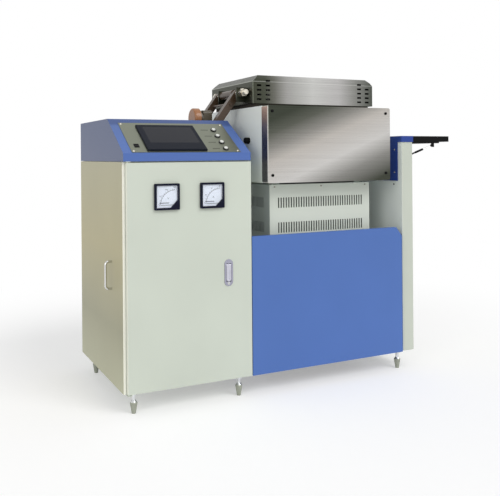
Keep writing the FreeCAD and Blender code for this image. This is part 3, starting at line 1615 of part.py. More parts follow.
def shelf_brackets():
    """Forked hinge brackets with their pins, and the stays' lower anchors, on the column's side."""
    solids = []
    half = hinge_knuckle_length / 2 + running_gap
    for y in hinge_lines():
        plate = box(column_right, column_right + hinge_plate_thickness, y - half - hinge_ear,
                    y + half + hinge_ear,
                    shelf_hinge_z - hinge_plate_half, shelf_hinge_z + hinge_plate_half)
        pieces = [plate, rod(hinge_pin_radius, 2 * (half + hinge_ear),
                             (shelf_hinge_x, y - half - hinge_ear, shelf_hinge_z),
                             Y_AXIS)]
        for start in (y - half - hinge_ear, y + half):
            pieces.append(box(column_right, shelf_hinge_x, start, start + hinge_ear,
                              shelf_hinge_z - hinge_knuckle_radius,
                              shelf_hinge_z + hinge_knuckle_radius))
            pieces.append(rod(hinge_knuckle_radius, hinge_ear, (shelf_hinge_x, start, shelf_hinge_z), Y_AXIS))
        solids.append(joined(pieces))
    for y, side in stay_lines():
        inner = y - side * (stay_eye_width / 2 + running_gap)
        outer = inner - side * stay_ear_thickness
        far = y + side * stay_eye_width / 2
        lug = box(column_right, stay_anchor_x + stay_eye_radius, min(inner, outer), max(inner, outer),
                  stay_anchor_z - stay_eye_radius, stay_anchor_z + stay_eye_radius)
        pin = rod(stay_pin_radius, abs(far - outer), (stay_anchor_x, min(far, outer), stay_anchor_z), Y_AXIS)
        solids.append(joined([lug, pin]))
    return group(solids)


def along_stay(shape):
    """Turn a shape built along x from the lower anchor onto the stay's line."""
    shape = shape.copy()
    shape.rotate(Vector(0, 0, 0), Y_AXIS, -stay_angle)
    shape.translate(Vector(stay_anchor_x, 0, stay_anchor_z))
    return shape


def stay_tubes():
    """Lower halves: an eye, a thin neck and a sleeve, bored for the rod."""
    solids = []
    for y, _ in stay_lines():
        start = y - stay_eye_width / 2
        eye = rod(stay_eye_radius, stay_eye_width, (0, start, 0), Y_AXIS)
        neck = rod(stay_neck_radius, stay_neck_length, (stay_pin_radius + seat_gap, y, 0), X_AXIS)
        sleeve = rod(stay_tube_radius, stay_tube_length - stay_neck_length, (stay_neck_length, y, 0), X_AXIS)
        bore = rod(stay_rod_radius + running_gap, stay_tube_length - stay_bore_start, (stay_bore_start, y, 0),
                   X_AXIS)
        pin_hole = rod(stay_pin_radius + running_gap, stay_eye_width, (0, start, 0), Y_AXIS)
        solids.append(along_stay(joined([eye, neck, sleeve]).cut(bore).cut(pin_hole)))
    return group(solids)


def stay_rods():
    """Upper halves: a rod that slides in the sleeve and an eye beside the shelf's bracket."""
    solids = []
    for y, _ in stay_lines():
        bar = rod(stay_rod_radius, stay_rod_reach, (stay_length - stay_rod_reach, y, 0), X_AXIS)
        eye = rod(stay_eye_radius, stay_eye_width, (stay_length, y - stay_eye_width / 2, 0), Y_AXIS)
        solids.append(along_stay(joined([bar, eye])))
    return group(solids)


def levelling_feet():
    """Six screwed feet with lock nuts and tapered pads."""
    neck_z = foot_pad_height - foot_shoulder
    profile = [(0, 0), (foot_tip_radius, 0), (foot_pad_radius, neck_z), (foot_neck_radius, foot_pad_height),
               (foot_stem_radius, foot_pad_height), (foot_stem_radius, foot_height), (0, foot_height)]
    solids = []
    for x in (foot_inset, cabinet_width - foot_inset, column_left - rail_size / 2):
        for y in (foot_front_inset, cabinet_depth - foot_back_inset):
            corners = [Vector(x + radius, y, z) for radius, z in profile]
            pad = Part.Face(Part.makePolygon(corners + corners[:1])).revolve(Vector(x, y, 0), Z_AXIS, 360)
            nut = hexagon(foot_nut_flats, foot_nut_height, (x, y, foot_height - foot_nut_height), Z_AXIS)
            solids.append(joined([pad, nut]))
    return group(solids)


def build():
    """All nodes by name."""
    nodes = {
        "cabinet_frame": cabinet_frame(),
        "cabinet_plates": cabinet_plates(),
        "cabinet_back": cabinet_back(),
        "cabinet_right_side": cabinet_right_side(),
        "front_door": front_door(),
        "hinge_brackets": group(door_pivots() + fixed_hinge_leaves()),
        "latch_plate": latch_plate(),
        "latch_paddle": latch_paddle(),
        "meter_cases": group([meter_case(x) for x in meter_centres]),
        "meter_glasses": group([meter_glass(x) for x in meter_centres]),
        "meter_needle_left": meter_needle(meter_centres[0]),
        "meter_needle_right": meter_needle(meter_centres[1]),
        "side_door": side_door(),
        "side_handle": side_handle(),
        "side_hinge_leaves": side_hinge_leaves(),
        "console_shell": console_shell(),
        "console_plate": console_plate(),
        "touch_screen_case": touch_screen_case(),
        "touch_screen_glass": touch_screen_glass(),
        "button_bezels": group([button_bezel(row) for row in button_rows()]),
        "rocker_frame": rocker_frame(),
        "rocker": rocker(),
        "mounting_plate": mounting_plate(),
        "control_gear": control_gear(),
        "base_frame": base_frame(),
        "skirt_panel": skirt_panel(),
        "pedestal_front": pedestal_front_panel(),
        "pedestal_sides": pedestal_sides(),
        "transformer": transformer(),
        "furnace_casing": furnace_casing(),
        "furnace_cover": furnace_cover(),
        "cover_bolts": cover_bolts(),
        "insulation_blocks": insulation_blocks(),
        "heating_rods": heating_rods(),
        "thermocouple": thermocouple(),
        "shaft_bearings": shaft_bearings(),
        "cradle": cradle(),
        "crucibles": crucibles(),
        "mould_rack": mould_rack(),
        "moulds": moulds(),
        "cradle_gearmotor": cradle_gearmotor(),
        "hood_shell": hood_shell(),
        "lid_slab": lid_slab(),
        "lift_arms": lift_arms(),
        "lift_cross_members": lift_cross_members(),
        "lift_spindle": lift_spindle(),
        "lift_shaft": lift_shaft(),
        "lift_gearbox": lift_gearbox(),
        "lift_motor": lift_motor(),
        "right_column": right_column(),
        "column_cap": column_cap(),
        "shelf_board": shelf_board(),
        "shelf_brackets": shelf_brackets(),
        "stay_tubes": stay_tubes(),
        "stay_rods": stay_rods(),
        "levelling_feet": levelling_feet(),
    }
    for index, row in enumerate(button_rows()):
        nodes["push_button_%d" % (index + 1)] = button_cap(row)
    return nodes


nodes = build()
bounds = group(list(nodes.values())).BoundBox
origin = Vector((bounds.XMin + bounds.XMax) / 2, (bounds.YMin + bounds.YMax) / 2, 0)
for name, shape in nodes.items():
    shape.translate(-origin)
    shape.exportStep("parts/%s.step" % name)
print("nodes", len(nodes), "size", round(bounds.XLength), round(bounds.YLength), round(bounds.ZLength))
print("invalid", [name for name, shape in nodes.items() if not shape.isValid()])
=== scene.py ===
# %% [markdown]
# # A sample fusion machine, dressed from its solids
#
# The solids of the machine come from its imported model: a control cabinet with a sloping console,
# a furnace under a lifting hood, and a column with a fold-down shelf. This lesson loads them as a
# fixed frame, then adds what solids don't carry: paint, brushed steel, screws, meter faces and
# threads. Every piece is placed from the frame's own boxes, so nothing has to be fitted by eye.

# %% Load the frame
import json
import math

import bmesh
import bpy
from mathutils import Matrix, Vector


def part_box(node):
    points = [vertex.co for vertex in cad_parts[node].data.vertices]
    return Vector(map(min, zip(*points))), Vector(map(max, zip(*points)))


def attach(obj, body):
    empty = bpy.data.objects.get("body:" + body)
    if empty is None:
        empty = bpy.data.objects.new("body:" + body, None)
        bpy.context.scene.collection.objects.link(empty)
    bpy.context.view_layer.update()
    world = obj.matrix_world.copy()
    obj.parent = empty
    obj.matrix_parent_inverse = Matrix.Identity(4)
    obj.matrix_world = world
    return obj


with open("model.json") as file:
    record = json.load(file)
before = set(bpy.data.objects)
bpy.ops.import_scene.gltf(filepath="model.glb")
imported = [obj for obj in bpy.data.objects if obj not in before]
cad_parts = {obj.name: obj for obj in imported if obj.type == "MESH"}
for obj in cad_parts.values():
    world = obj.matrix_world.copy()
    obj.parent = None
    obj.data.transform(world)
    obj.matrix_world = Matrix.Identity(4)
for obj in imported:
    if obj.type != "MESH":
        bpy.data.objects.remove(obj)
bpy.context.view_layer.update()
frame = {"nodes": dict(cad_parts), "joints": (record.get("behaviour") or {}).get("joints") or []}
nodes = frame["nodes"]
joints = {joint["name"]: joint for joint in frame["joints"]}

# %% [markdown]
# ## Colours
#
# Blender's shaders want linear colours, while a colour picked from a picture is stored with a
# curve. The first helper undoes that curve. The other two make a colour lighter or darker, and a
# plain grey.

# %% Colour helpers
def linear(red, green, blue):
    """A colour from 0 to 255 as a linear shader colour."""
    channels = []
    for value in (red, green, blue):
        value = value / 255
        channels.append(value / 12.92 if value <= 0.04045 else ((value + 0.055) / 1.055) ** 2.4)
    return (*channels, 1.0)


def shade(colour, factor):
    """The same colour, lighter or darker."""
    return (*(min(1.0, channel * factor) for channel in colour[:3]), 1.0)


def grey(value):
    return (value, value, value, 1.0)


print("a picture's middle grey is", round(linear(128, 128, 128)[0], 3), "to a shader")

# %% [markdown]
# ## Nodes
#
# Materials and repeated shapes are both built from nodes. Short helpers set or link an input,
# feed a node by the names of its inputs, and add a node ready fed.

# %% Node helpers
def join(tree, socket, value):
    """Set an input to a value, or link it to the output socket that feeds it."""
    if isinstance(value, bpy.types.NodeSocket):
        tree.links.new(value, socket)
    else:
        socket.default_value = value


def feed(tree, node, **inputs):
    """Join a node's inputs by name, with an underscore for each space."""
    for label, value in inputs.items():
        join(tree, node.inputs[label.replace("_", " ")], value)
    return node


def put(tree, kind, settings=(), **inputs):
    """Add a node with its settings and inputs."""
    node = tree.nodes.new(kind)
    for setting, value in settings:
        setattr(node, setting, value)
    return feed(tree, node, **inputs)


def math_node(tree, kind, operation, *values):
    """Add a math node, with its inputs in order."""
    node = put(tree, kind, [("operation", operation)])
    for socket, value in zip(node.inputs, values):
        join(tree, socket, value)
    return node


# %% [markdown]
# ## Materials and patterns
#
# Every finish starts from the same main shader and a pattern space fixed to the object. Short
# helpers add a soft noise, a ramp that turns a value into colours, and a relief that only tilts
# the shading. With them, each finish below is a few lines long.

# %% Material and pattern helpers
def start_material(name):
    """An empty material with its main shader and a pattern space fixed to the object."""
    material = bpy.data.materials.new(name)
    material.use_nodes = True
    tree = material.node_tree
    space = put(tree, "ShaderNodeTexCoord").outputs["Object"]
    return material, tree, tree.nodes["Principled BSDF"], space


def stretched(tree, space, scale):
    """The pattern space stretched along its axes."""
    return put(tree, "ShaderNodeMapping", Vector=space, Scale=scale).outputs["Vector"]


def noise(tree, space, scale, detail=3.0):
    """A soft random pattern between 0 and 1."""
    return put(tree, "ShaderNodeTexNoise", Vector=space, Scale=scale, Detail=detail).outputs["Fac"]


def ramp(tree, value, stops):
    """Colours along a value, given as (place, colour) pairs; a number stands for a grey."""
    node = put(tree, "ShaderNodeValToRGB", Fac=value)
    elements = node.color_ramp.elements
    while len(elements) < len(stops):
        elements.new(0.5)
    for element, (place, colour) in zip(elements, stops):
        element.position = place
        element.color = colour if isinstance(colour, tuple) else grey(colour)
    return node.outputs["Color"]


def bump(tree, height, shader, strength, distance):
    """A fine relief that only tilts the surface's shading."""
    relief = put(tree, "ShaderNodeBump", Strength=strength, Distance=distance, Height=height)
    feed(tree, shader, Normal=relief.outputs["Normal"])


# %% [markdown]
# ## Washes across an object
#
# Sheet metal doesn't look even: an edge gleams, a side in shade looks darker and warmer, and
# brushed steel mirrors the room in bands. Washes paint such light and shade.
# A wash runs colours along one direction of an object, between two distances in metres. Two
# patterns can then be multiplied, or mixed by a third one.

# %% Wash helpers
rightwards, upwards = (1, 0, 0), (0, 0, 1)


def mapped(tree, value, start, end, low=0.0, high=1.0):
    """A node that turns the range from start to end into the range from low to high."""
    return put(tree, "ShaderNodeMapRange", Value=value, From_Min=start, From_Max=end, To_Min=low,
               To_Max=high)


def wash(tree, space, direction, start, end, stops):
    """Colours along a direction across the object, between two distances along it."""
    along = math_node(tree, "ShaderNodeVectorMath", "DOT_PRODUCT", space, direction)
    return ramp(tree, mapped(tree, along.outputs["Value"], start, end).outputs["Result"], stops)


def multiplied(tree, first, second):
    """One pattern darkened by another."""
    return math_node(tree, "ShaderNodeVectorMath", "MULTIPLY", first, second).outputs["Vector"]


def mixed(tree, factor, first, second):
    """The first colour where the factor is black, the second where it is white."""
    node = put(tree, "ShaderNodeMix", [("data_type", "RGBA")], Factor=factor)
    sockets = [socket for socket in node.inputs if socket.type == "RGBA"]
    join(tree, sockets[0], first)
    join(tree, sockets[1], second)
    return [socket for socket in node.outputs if socket.type == "RGBA"][0]


def left_face(tree, space, name, first, second):
    """The first colour on a node's left face, the second one on all the rest."""
    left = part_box(name)[0][0]
    return wash(tree, space, rightwards, left, left + face_reach, [(0.4, first), (0.6, second)])


face_reach = 0.001
print("a left face reaches", face_reach, "m into its node")

# %% [markdown]
# ## Dressing a node
#
# Each solid keeps its shape and only gets a finish. One helper hands a finish to some nodes and
# remembers their names, so a check can show later whether any node was left without one.

# %% Dress helper
dressed = set()


def dress(material, *names):
    """Give a finish to some of the machine's nodes."""
    for name in names:
        nodes[name].data.materials.clear()
        nodes[name].data.materials.append(material)
    dressed.update(names)


print("nodes to dress:", len(nodes))

# %% [markdown]
# ## Powder-coated sheet metal
#
# The cabinet, the skirt and the column are sheet metal with baked powder paint. Such paint has a
# soft gloss and a fine orange-peel relief. A flat colour would look like plastic, so a slow noise
# moves the colour by a few percent and a fast one tilts the surface.

# %% Powder paint
cloud_scale, peel_scale, peel_depth = 2.2, 650.0, 0.0002


def powder_paint(name, colour, roughness=0.42, drift=0.035, peel=0.12, tint=None, gloss=0.5):
    """Baked paint of one colour, or of the colours that a tint function lays over the object."""
    material, tree, shader, space = start_material(name)
    cloud = noise(tree, space, cloud_scale)
    if tint:
        shadows = ramp(tree, cloud, [(0.3, 1 - 2 * drift), (0.7, 1.0)])
        colours = multiplied(tree, shadows, tint(tree, space))
    else:
        colours = ramp(tree, cloud, [(0.3, shade(colour, 1 - drift)), (0.7, shade(colour, 1 + drift))])
    feed(tree, shader, Base_Color=colours, Roughness=roughness, Specular_IOR_Level=gloss,
         Coat_Weight=0.16 * gloss, Coat_Roughness=0.25)
    bump(tree, noise(tree, space, peel_scale, 1.0), shader, peel, peel_depth)
    return material


black_paint = powder_paint("shelf_black_paint", linear(12, 12, 13), roughness=0.6, gloss=0.1)
dress(black_paint, "shelf_board", "shelf_brackets", "stay_tubes", "cover_bolts", "shaft_bearings")
dress(powder_paint("pale_cabinet_paint", linear(210, 217, 204)), "cabinet_frame", "cabinet_plates",
      "cabinet_back", "cabinet_right_side", "side_hinge_leaves", "hinge_brackets")
dress(powder_paint("column_cap_paint", linear(36, 66, 146), gloss=0.3), "column_cap")
dress(powder_paint("skirt_blue_paint", linear(82, 116, 184), gloss=0.3), "skirt_panel")
dress(powder_paint("navy_leg_paint", linear(30, 48, 106)), "base_frame")
# Painted light on the pedestal's front, and painted shade on its darker, bluer sides.
dress(powder_paint("pedestal_front_lit_paint", linear(218, 224, 213)), "pedestal_front")
dress(powder_paint("pedestal_side_shaded_paint", linear(178, 186, 184)), "pedestal_sides")
dress(powder_paint("brown_arm_paint", linear(70, 53, 38), roughness=0.35), "lift_arms",
      "lift_cross_members")
dress(powder_paint("olive_gearbox_paint", linear(78, 70, 54), roughness=0.4), "lift_gearbox")
dress(powder_paint("copper_motor_paint", linear(158, 104, 62), roughness=0.3), "lift_motor")
dress(powder_paint("gear_grey_paint", linear(118, 120, 120), roughness=0.45), "cradle_gearmotor")
print("nodes dressed:", len(dressed))

# %% [markdown]
# ## Painted light and shade from face to face
#
# The access door's broad face gets a warm painted shade, and its narrow front lip painted light.
# The console's cheek gets a greyer blue as painted shade, and its slope a painted shade at the
# ridge. The front door, the column and the furnace casing get painted light on their left faces.
# A tint function lays such colours over one node, by the node's own left face.

# %% Paints with painted light and shade
side_fade, cheek_fade, slope_fade = (0.1, 1.1), (1.08, 1.25), (1.06, 1.25)


def side_tint(tree, space):
    """A warm painted shade on the access door's broad face, painted light on its pale front lip."""
    face = wash(tree, space, upwards, *side_fade,
                [(0.0, linear(196, 196, 168)), (0.25, linear(169, 167, 139)),
                 (0.6, linear(190, 182, 143)), (1.0, linear(187, 183, 153))])
    # The lip's near white is painted light against the front door's shadow.
    lip = wash(tree, space, upwards, *side_fade,
               [(0.0, linear(252, 252, 240)), (1.0, linear(254, 253, 242))])
    edge = left_face(tree, space, "side_door", 0.0, 1.0)
    return mixed(tree, edge, face, lip)


def console_tint(tree, space):
    """Painted shade on a clear blue slope: greyer blue on the left cheek, darker at the ridge."""
    cheek = wash(tree, space, upwards, *cheek_fade,
                 [(0.0, linear(91, 102, 134)), (1.0, linear(84, 97, 132))])
    slope = wash(tree, space, upwards, *slope_fade,
                 [(0.0, linear(86, 114, 180)), (0.4, linear(84, 114, 180)),
                  (0.94, linear(84, 110, 168)), (1.0, linear(66, 88, 140))])
    edge = left_face(tree, space, "console_shell", 0.0, 1.0)
    return mixed(tree, edge, cheek, slope)


def painted_light_left(name, bright, plain):
    """A tint with painted light on a node's left face."""
    return lambda tree, space: left_face(tree, space, name, bright, plain)


dress(powder_paint("side_door_paint_with_painted_shade", None, tint=side_tint, gloss=0.2), "side_door")
dress(powder_paint("console_blue_paint", None, tint=console_tint, gloss=0.25), "console_shell")
# The left faces' colours and the casing's plain colour are painted light against the bay's shade.
for finish, node, bright, plain, roughness in (
        ("pale_door_paint", "front_door", linear(244, 246, 232), linear(210, 217, 204), 0.42),
        ("pale_column_paint", "right_column", linear(246, 252, 245), linear(204, 210, 197), 0.42),
        ("furnace_casing_paint", "furnace_casing", linear(250, 255, 248), linear(222, 232, 222), 0.38)):
    dress(powder_paint(finish, None, roughness, tint=painted_light_left(node, bright, plain)), node)
print("nodes dressed:", len(dressed))

# %% [markdown]
# ## Brushed stainless steel
#
# The furnace's front and the hood are brushed steel. Brushing leaves long fine scratches in one
# direction, which spread a reflection across the grain. A noise squeezed in two directions gives
# those scratches: it drives the roughness and a very small bump.

# %% Brushed steel
scratch_detail, scratch_depth = 4.0, 0.0002


def brushed_steel(name, colour, roughness=0.3, grain=(1.5, 60.0, 900.0), relief=0.05, spread=0.08,
                  tint=None):
    """Brushed metal of one colour, or of the colours that a tint function lays over the object."""
    material, tree, shader, space = start_material(name)
    scratches = noise(tree, stretched(tree, space, grain), 1.0, scratch_detail)
    if tint:
        streaks = ramp(tree, scratches, [(0.3, 0.88), (0.7, 1.0)])
        colours = multiplied(tree, streaks, tint(tree, space))
    else:
        colours = ramp(tree, scratches, [(0.3, shade(colour, 0.93)), (0.7, shade(colour, 1.05))])
    rough = ramp(tree, scratches, [(0.3, roughness - spread), (0.7, roughness + spread)])
    feed(tree, shader, Base_Color=colours, Metallic=1.0, Roughness=rough)
    bump(tree, scratches, shader, relief, scratch_depth)
    return material


def even_grain(scale):
    return (scale, scale, scale)


plain_steel = brushed_steel("turned_steel", linear(168, 164, 156), grain=even_grain(40.0))
zinc_steel = brushed_steel("bright_zinc_nuts", linear(228, 222, 208), 0.28, even_grain(30.0))
chrome = brushed_steel("polished_chrome", linear(214, 214, 212), 0.14, even_grain(8.0), relief=0.01,
                       spread=0.03)
dress(plain_steel, "mounting_plate", "lift_shaft", "thermocouple")
dress(zinc_steel, "lift_spindle")
dress(chrome, "side_handle", "stay_rods")
dress(brushed_steel("latch_plate_steel", linear(166, 166, 182), 0.24, even_grain(20.0)), "latch_plate")
dress(brushed_steel("latch_paddle_steel", linear(206, 206, 218), 0.2, even_grain(20.0)), "latch_paddle")
dress(brushed_steel("console_plate_metal", linear(129, 133, 119), 0.36), "console_plate")
dress(brushed_steel("heat_stained_steel", linear(128, 112, 94), 0.42, even_grain(20.0)), "cradle",
      "mould_rack")
dress(brushed_steel("platinum_alloy", linear(206, 202, 194), 0.22, even_grain(12.0)), "crucibles",
      "moulds")
print("nodes dressed:", len(dressed))

# %% [markdown]
# ## Painted reflections on the steel
#
# The furnace's front mirrors a dark room in two corners and a bright one between them, and its
# folded lip is dark with a bright edge. The hood is dark at its ends and bright in the middle.
# A real room's mirror image would change with the camera, so washes lay these bands on the metal.

# %% Tint of the furnace's front
slant = 1.3
rim_width, lip_width = 0.012, 0.002


def cover_tint(tree, space):
    """Painted reflections in diagonal bands, a dark lip and a highlight on the rounded edge."""
    low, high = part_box("furnace_cover")
    across, down = 1 / (high[0] - low[0]), slant / (high[2] - low[2])
    start = low[0] * across - high[2] * down
    face = wash(tree, space, (across, 0, -down), start, start + 1 + slant,
                [(0.12, linear(66, 70, 61)), (0.22, linear(94, 96, 88)), (0.33, linear(144, 142, 137)),
                 (0.43, linear(190, 185, 179)), (0.62, linear(206, 204, 201)),
                 (0.77, linear(142, 141, 137)), (0.94, linear(70, 73, 64))])
    lip = wash(tree, space, upwards, low[2], high[2],
               [(0.0, linear(130, 130, 138)), (0.6, linear(148, 139, 141)), (1.0, linear(180, 152, 138))])
    rim = wash(tree, space, rightwards, low[0], low[0] + rim_width, [(0.3, 1.0), (0.6, 0.0)])
    bright = wash(tree, space, upwards, low[2], high[2],
                  [(0.0, linear(196, 196, 190)), (1.0, linear(206, 206, 198))])
    outer = wash(tree, space, rightwards, low[0], low[0] + lip_width, [(0.3, 1.0), (0.6, 0.0)])
    return mixed(tree, outer, mixed(tree, rim, face, bright), lip)


dress(brushed_steel("brushed_cover_steel", None, 0.32, tint=cover_tint), "furnace_cover")
print("nodes dressed, with the cover:", len(dressed))

# %% Tint of the hood
lug_reach = 0.045
bevel_height = 0.032
edge_width, crease_reach = 0.006, 0.005


def hood_tint(tree, space):
    """Dark ends, a bright middle, and a glint along the front corner and the bevel's crease."""
    low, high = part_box("hood_shell")
    left, crease_level = low[0] + lug_reach, high[2] - bevel_height
    edge = wash(tree, space, rightwards, left, left + edge_width,
                [(0.1, 0.0), (0.2, 1.0), (0.45, 1.0), (0.6, 0.0)])
    bright = wash(tree, space, upwards, low[2], high[2],
                  [(0.0, linear(140, 146, 130)), (1.0, linear(150, 156, 140))])
    front = wash(tree, space, rightwards, left, high[0],
                 [(0.0, linear(68, 70, 60)), (0.1, linear(75, 78, 68)), (0.17, linear(108, 108, 101)),
                  (0.27, linear(160, 159, 156)), (0.48, linear(196, 196, 193)),
                  (0.7, linear(182, 180, 179)), (0.83, linear(142, 142, 138)),
                  (1.0, linear(80, 84, 77))])
    crease = wash(tree, space, upwards, crease_level - crease_reach, crease_level + crease_reach,
                  [(0.25, 0.0), (0.45, 0.3), (0.55, 0.3), (0.75, 0.0)])
    glint = wash(tree, space, upwards, low[2], high[2],
                 [(0.0, linear(226, 227, 222)), (1.0, linear(230, 231, 226))])
    return mixed(tree, edge, mixed(tree, crease, front, glint), bright)


dress(brushed_steel("brushed_hood_steel", None, 0.34, tint=hood_tint), "hood_shell")
print("nodes dressed, with the hood:", len(dressed))

# %% [markdown]
# ## Plastics, ceramics and glass
#
# Bezels and the touch screen are plastic: dark, slightly rough, with a fine grain. The furnace
# lining is fibre board, which is chalky and mottled. Glass only needs full transmission, a low
# roughness and an index of refraction, set straight on the shader's sockets.

# %% Plastics
grain_depth = 0.0001


def moulded_plastic(name, colour, roughness=0.4, grain=900.0, relief=0.08, gloss=0.5):
    """Plastic with a fine grain in its colour and its relief."""
    material, tree, shader, space = start_material(name)
    speck = noise(tree, space, grain, 1.0)
    colours = ramp(tree, speck, [(0.35, shade(colour, 0.9)), (0.65, shade(colour, 1.1))])
    feed(tree, shader, Base_Color=colours, Roughness=roughness, Specular_IOR_Level=gloss)
    bump(tree, speck, shader, relief, grain_depth)
    return material


switch_black = moulded_plastic("black_switch", linear(12, 12, 13), gloss=0.15)
dress(switch_black, "rocker_frame", "rocker")
dress(moulded_plastic("black_meter_bezel", linear(15, 18, 38), 0.35, gloss=0.12), "meter_cases")
dress(moulded_plastic("dark_screen_frame", linear(24, 28, 38), 0.45, gloss=0.08), "touch_screen_case")
dress(moulded_plastic("dark_screen_face", linear(33, 35, 42), 0.2, relief=0.0, gloss=0.12),
      "touch_screen_glass")
dress(moulded_plastic("black_button_ring", linear(34, 35, 34), 0.3, gloss=0.3), "button_bezels")
# The caps' near white is a painted glint.
dress(moulded_plastic("bright_button_cap", linear(226, 228, 222), 0.25),
      *("push_button_%d" % number for number in (1, 2, 3, 4)))
dress(moulded_plastic("needle_black", linear(16, 16, 16), 0.5), "meter_needle_left",
      "meter_needle_right")
dress(moulded_plastic("controller_plastic", linear(96, 99, 104), 0.5), "control_gear")
dress(moulded_plastic("winding_varnish", linear(112, 62, 34), 0.3, grain=300.0), "transformer")
print("nodes dressed:", len(dressed))

# %% Fibre board and glass
board_relief, board_depth = 0.35, 0.001


def fibre_board(name, colour, scale=60.0):
    """Chalky, mottled board."""
    material, tree, shader, space = start_material(name)
    mottle = noise(tree, space, scale, 6.0)
    colours = ramp(tree, mottle, [(0.3, shade(colour, 0.86)), (0.7, shade(colour, 1.06))])
    feed(tree, shader, Base_Color=colours, Roughness=0.9)
    bump(tree, mottle, shader, board_relief, board_depth)
    return material


def clear_glass(name):
    """Thin glass with faint smears in its gloss."""
    material, tree, shader, space = start_material(name)
    smear = ramp(tree, noise(tree, space, 14.0), [(0.4, 0.02), (0.6, 0.06)])
    feed(tree, shader, Base_Color=(0.97, 0.99, 0.99, 1.0), Transmission_Weight=1.0, IOR=1.12,
         Roughness=smear)
    return material


dress(fibre_board("furnace_lining", linear(226, 220, 204)), "insulation_blocks")
# The lid slab's dark brown is partly scorching, partly painted shade in the gap under the hood.
dress(fibre_board("scorched_and_shaded_lid_board", linear(62, 56, 48)), "lid_slab")
dress(fibre_board("heating_rod_ceramic", linear(112, 108, 104), scale=140.0), "heating_rods")
dress(clear_glass("meter_window_glass"), "meter_glasses")
print("nodes left to dress:", sorted(set(nodes) - dressed))

# %% [markdown]
# ## Levelling feet
#
# A foot is one node, but its screw is bright steel and its pad grey-green plastic. The change sits
# at one height above the floor, so a wash upwards gives both the colour and the metallic share.

# %% The feet's finish
def foot_finish():
    """A bright steel screw over a grey-green moulded pad."""
    material, tree, shader, space = start_material("foot_screw_and_pad")
    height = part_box("levelling_feet")[1][2]
    pad = wash(tree, space, upwards, 0.0, height,
               [(0.54, linear(168, 172, 157)), (0.56, linear(224, 226, 228))])
    stains = ramp(tree, noise(tree, space, 90.0), [(0.3, 0.85), (0.7, 1.0)])
    metal = wash(tree, space, upwards, 0.0, height, [(0.54, 0.0), (0.56, 1.0)])
    feed(tree, shader, Base_Color=multiplied(tree, stains, pad), Metallic=metal, Roughness=0.35)
    return material


dress(foot_finish(), "levelling_feet")
print("nodes without a finish:", sorted(set(nodes) - dressed))

# %% [markdown]
# ## Pieces built from points
#
# Small flat pieces, such as dial cards and label lines, are quickest to build from their corner
# points. The points are already in place, so each object can sit at the origin unturned. A piece
# rides on the body that it is fixed to.

# %% Build a mesh in place
def add_object(name, data):
    """Put an object into the scene."""
    item = bpy.data.objects.new(name, data)
    bpy.context.scene.collection.objects.link(item)
    return item


def keep_piece(name, mesh, body):
    """Put a finished mesh into the scene as a piece that rides on a body."""
    piece = add_object(name, mesh)
    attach(piece, body)
    return piece


def mesh_piece(name, points, faces, material, body):
    """A piece from its points and faces."""
    mesh = bpy.data.meshes.new(name)
    mesh.from_pydata([tuple(point) for point in points], [], faces)
    mesh.materials.append(material)
    mesh.update()
    return keep_piece(name, mesh, body)


def block_piece(name, low, high, material, body):
    """A box between two opposite corners."""
    points = [(x, y, z) for x in (low[0], high[0]) for y in (low[1], high[1])
              for z in (low[2], high[2])]
    faces = [(0, 1, 3, 2), (4, 6, 7, 5), (0, 4, 5, 1), (2, 3, 7, 6), (0, 2, 6, 4), (1, 5, 7, 3)]
    return mesh_piece(name, points, faces, material, body)


def plain_mesh(carrier):
    """The evaluated shape of a curve or a node tree as a plain mesh; its carrier goes."""
    layer = bpy.context.evaluated_depsgraph_get()
    mesh = bpy.data.meshes.new_from_object(carrier.evaluated_get(layer), depsgraph=layer)
    bpy.data.objects.remove(carrier)
    return mesh


# %% [markdown]
# ## A node tree for repeated parts
#
# Screws and dial ticks are copies of one shape, and Geometry Nodes make such copies from
# points. Building the tree in the script keeps every size a named input. The helpers below start
# and end a tree, run it on a mesh of points, and keep the result as a plain mesh.

# %% Geometry Nodes helpers
def start_tree(name, inputs):
    """A geometry tree with named number inputs and a material input."""
    tree = bpy.data.node_groups.new(name, "GeometryNodeTree")
    tree.interface.new_socket("Geometry", in_out="INPUT", socket_type="NodeSocketGeometry")
    for label, value in inputs:
        socket = tree.interface.new_socket(label, in_out="INPUT", socket_type="NodeSocketFloat")
        socket.default_value = value
    tree.interface.new_socket("Material", in_out="INPUT", socket_type="NodeSocketMaterial")
    tree.interface.new_socket("Geometry", in_out="OUTPUT", socket_type="NodeSocketGeometry")
    return tree, tree.nodes.new("NodeGroupInput"), tree.nodes.new("NodeGroupOutput")


def stored_facing(tree):
    """The direction that is stored with each point."""
    node = put(tree, "GeometryNodeInputNamedAttribute", [("data_type", "FLOAT_VECTOR")], Name="facing")
    return node.outputs["Attribute"]


def finish_tree(tree, entry, leave, geometry):
    """End a tree in real faces with their material."""
    real = put(tree, "GeometryNodeRealizeInstances", Geometry=geometry)
    painted = put(tree, "GeometryNodeSetMaterial", Geometry=real.outputs["Geometry"],
                  Material=entry.outputs["Material"])
    tree.links.new(painted.outputs["Geometry"], leave.inputs["Geometry"])


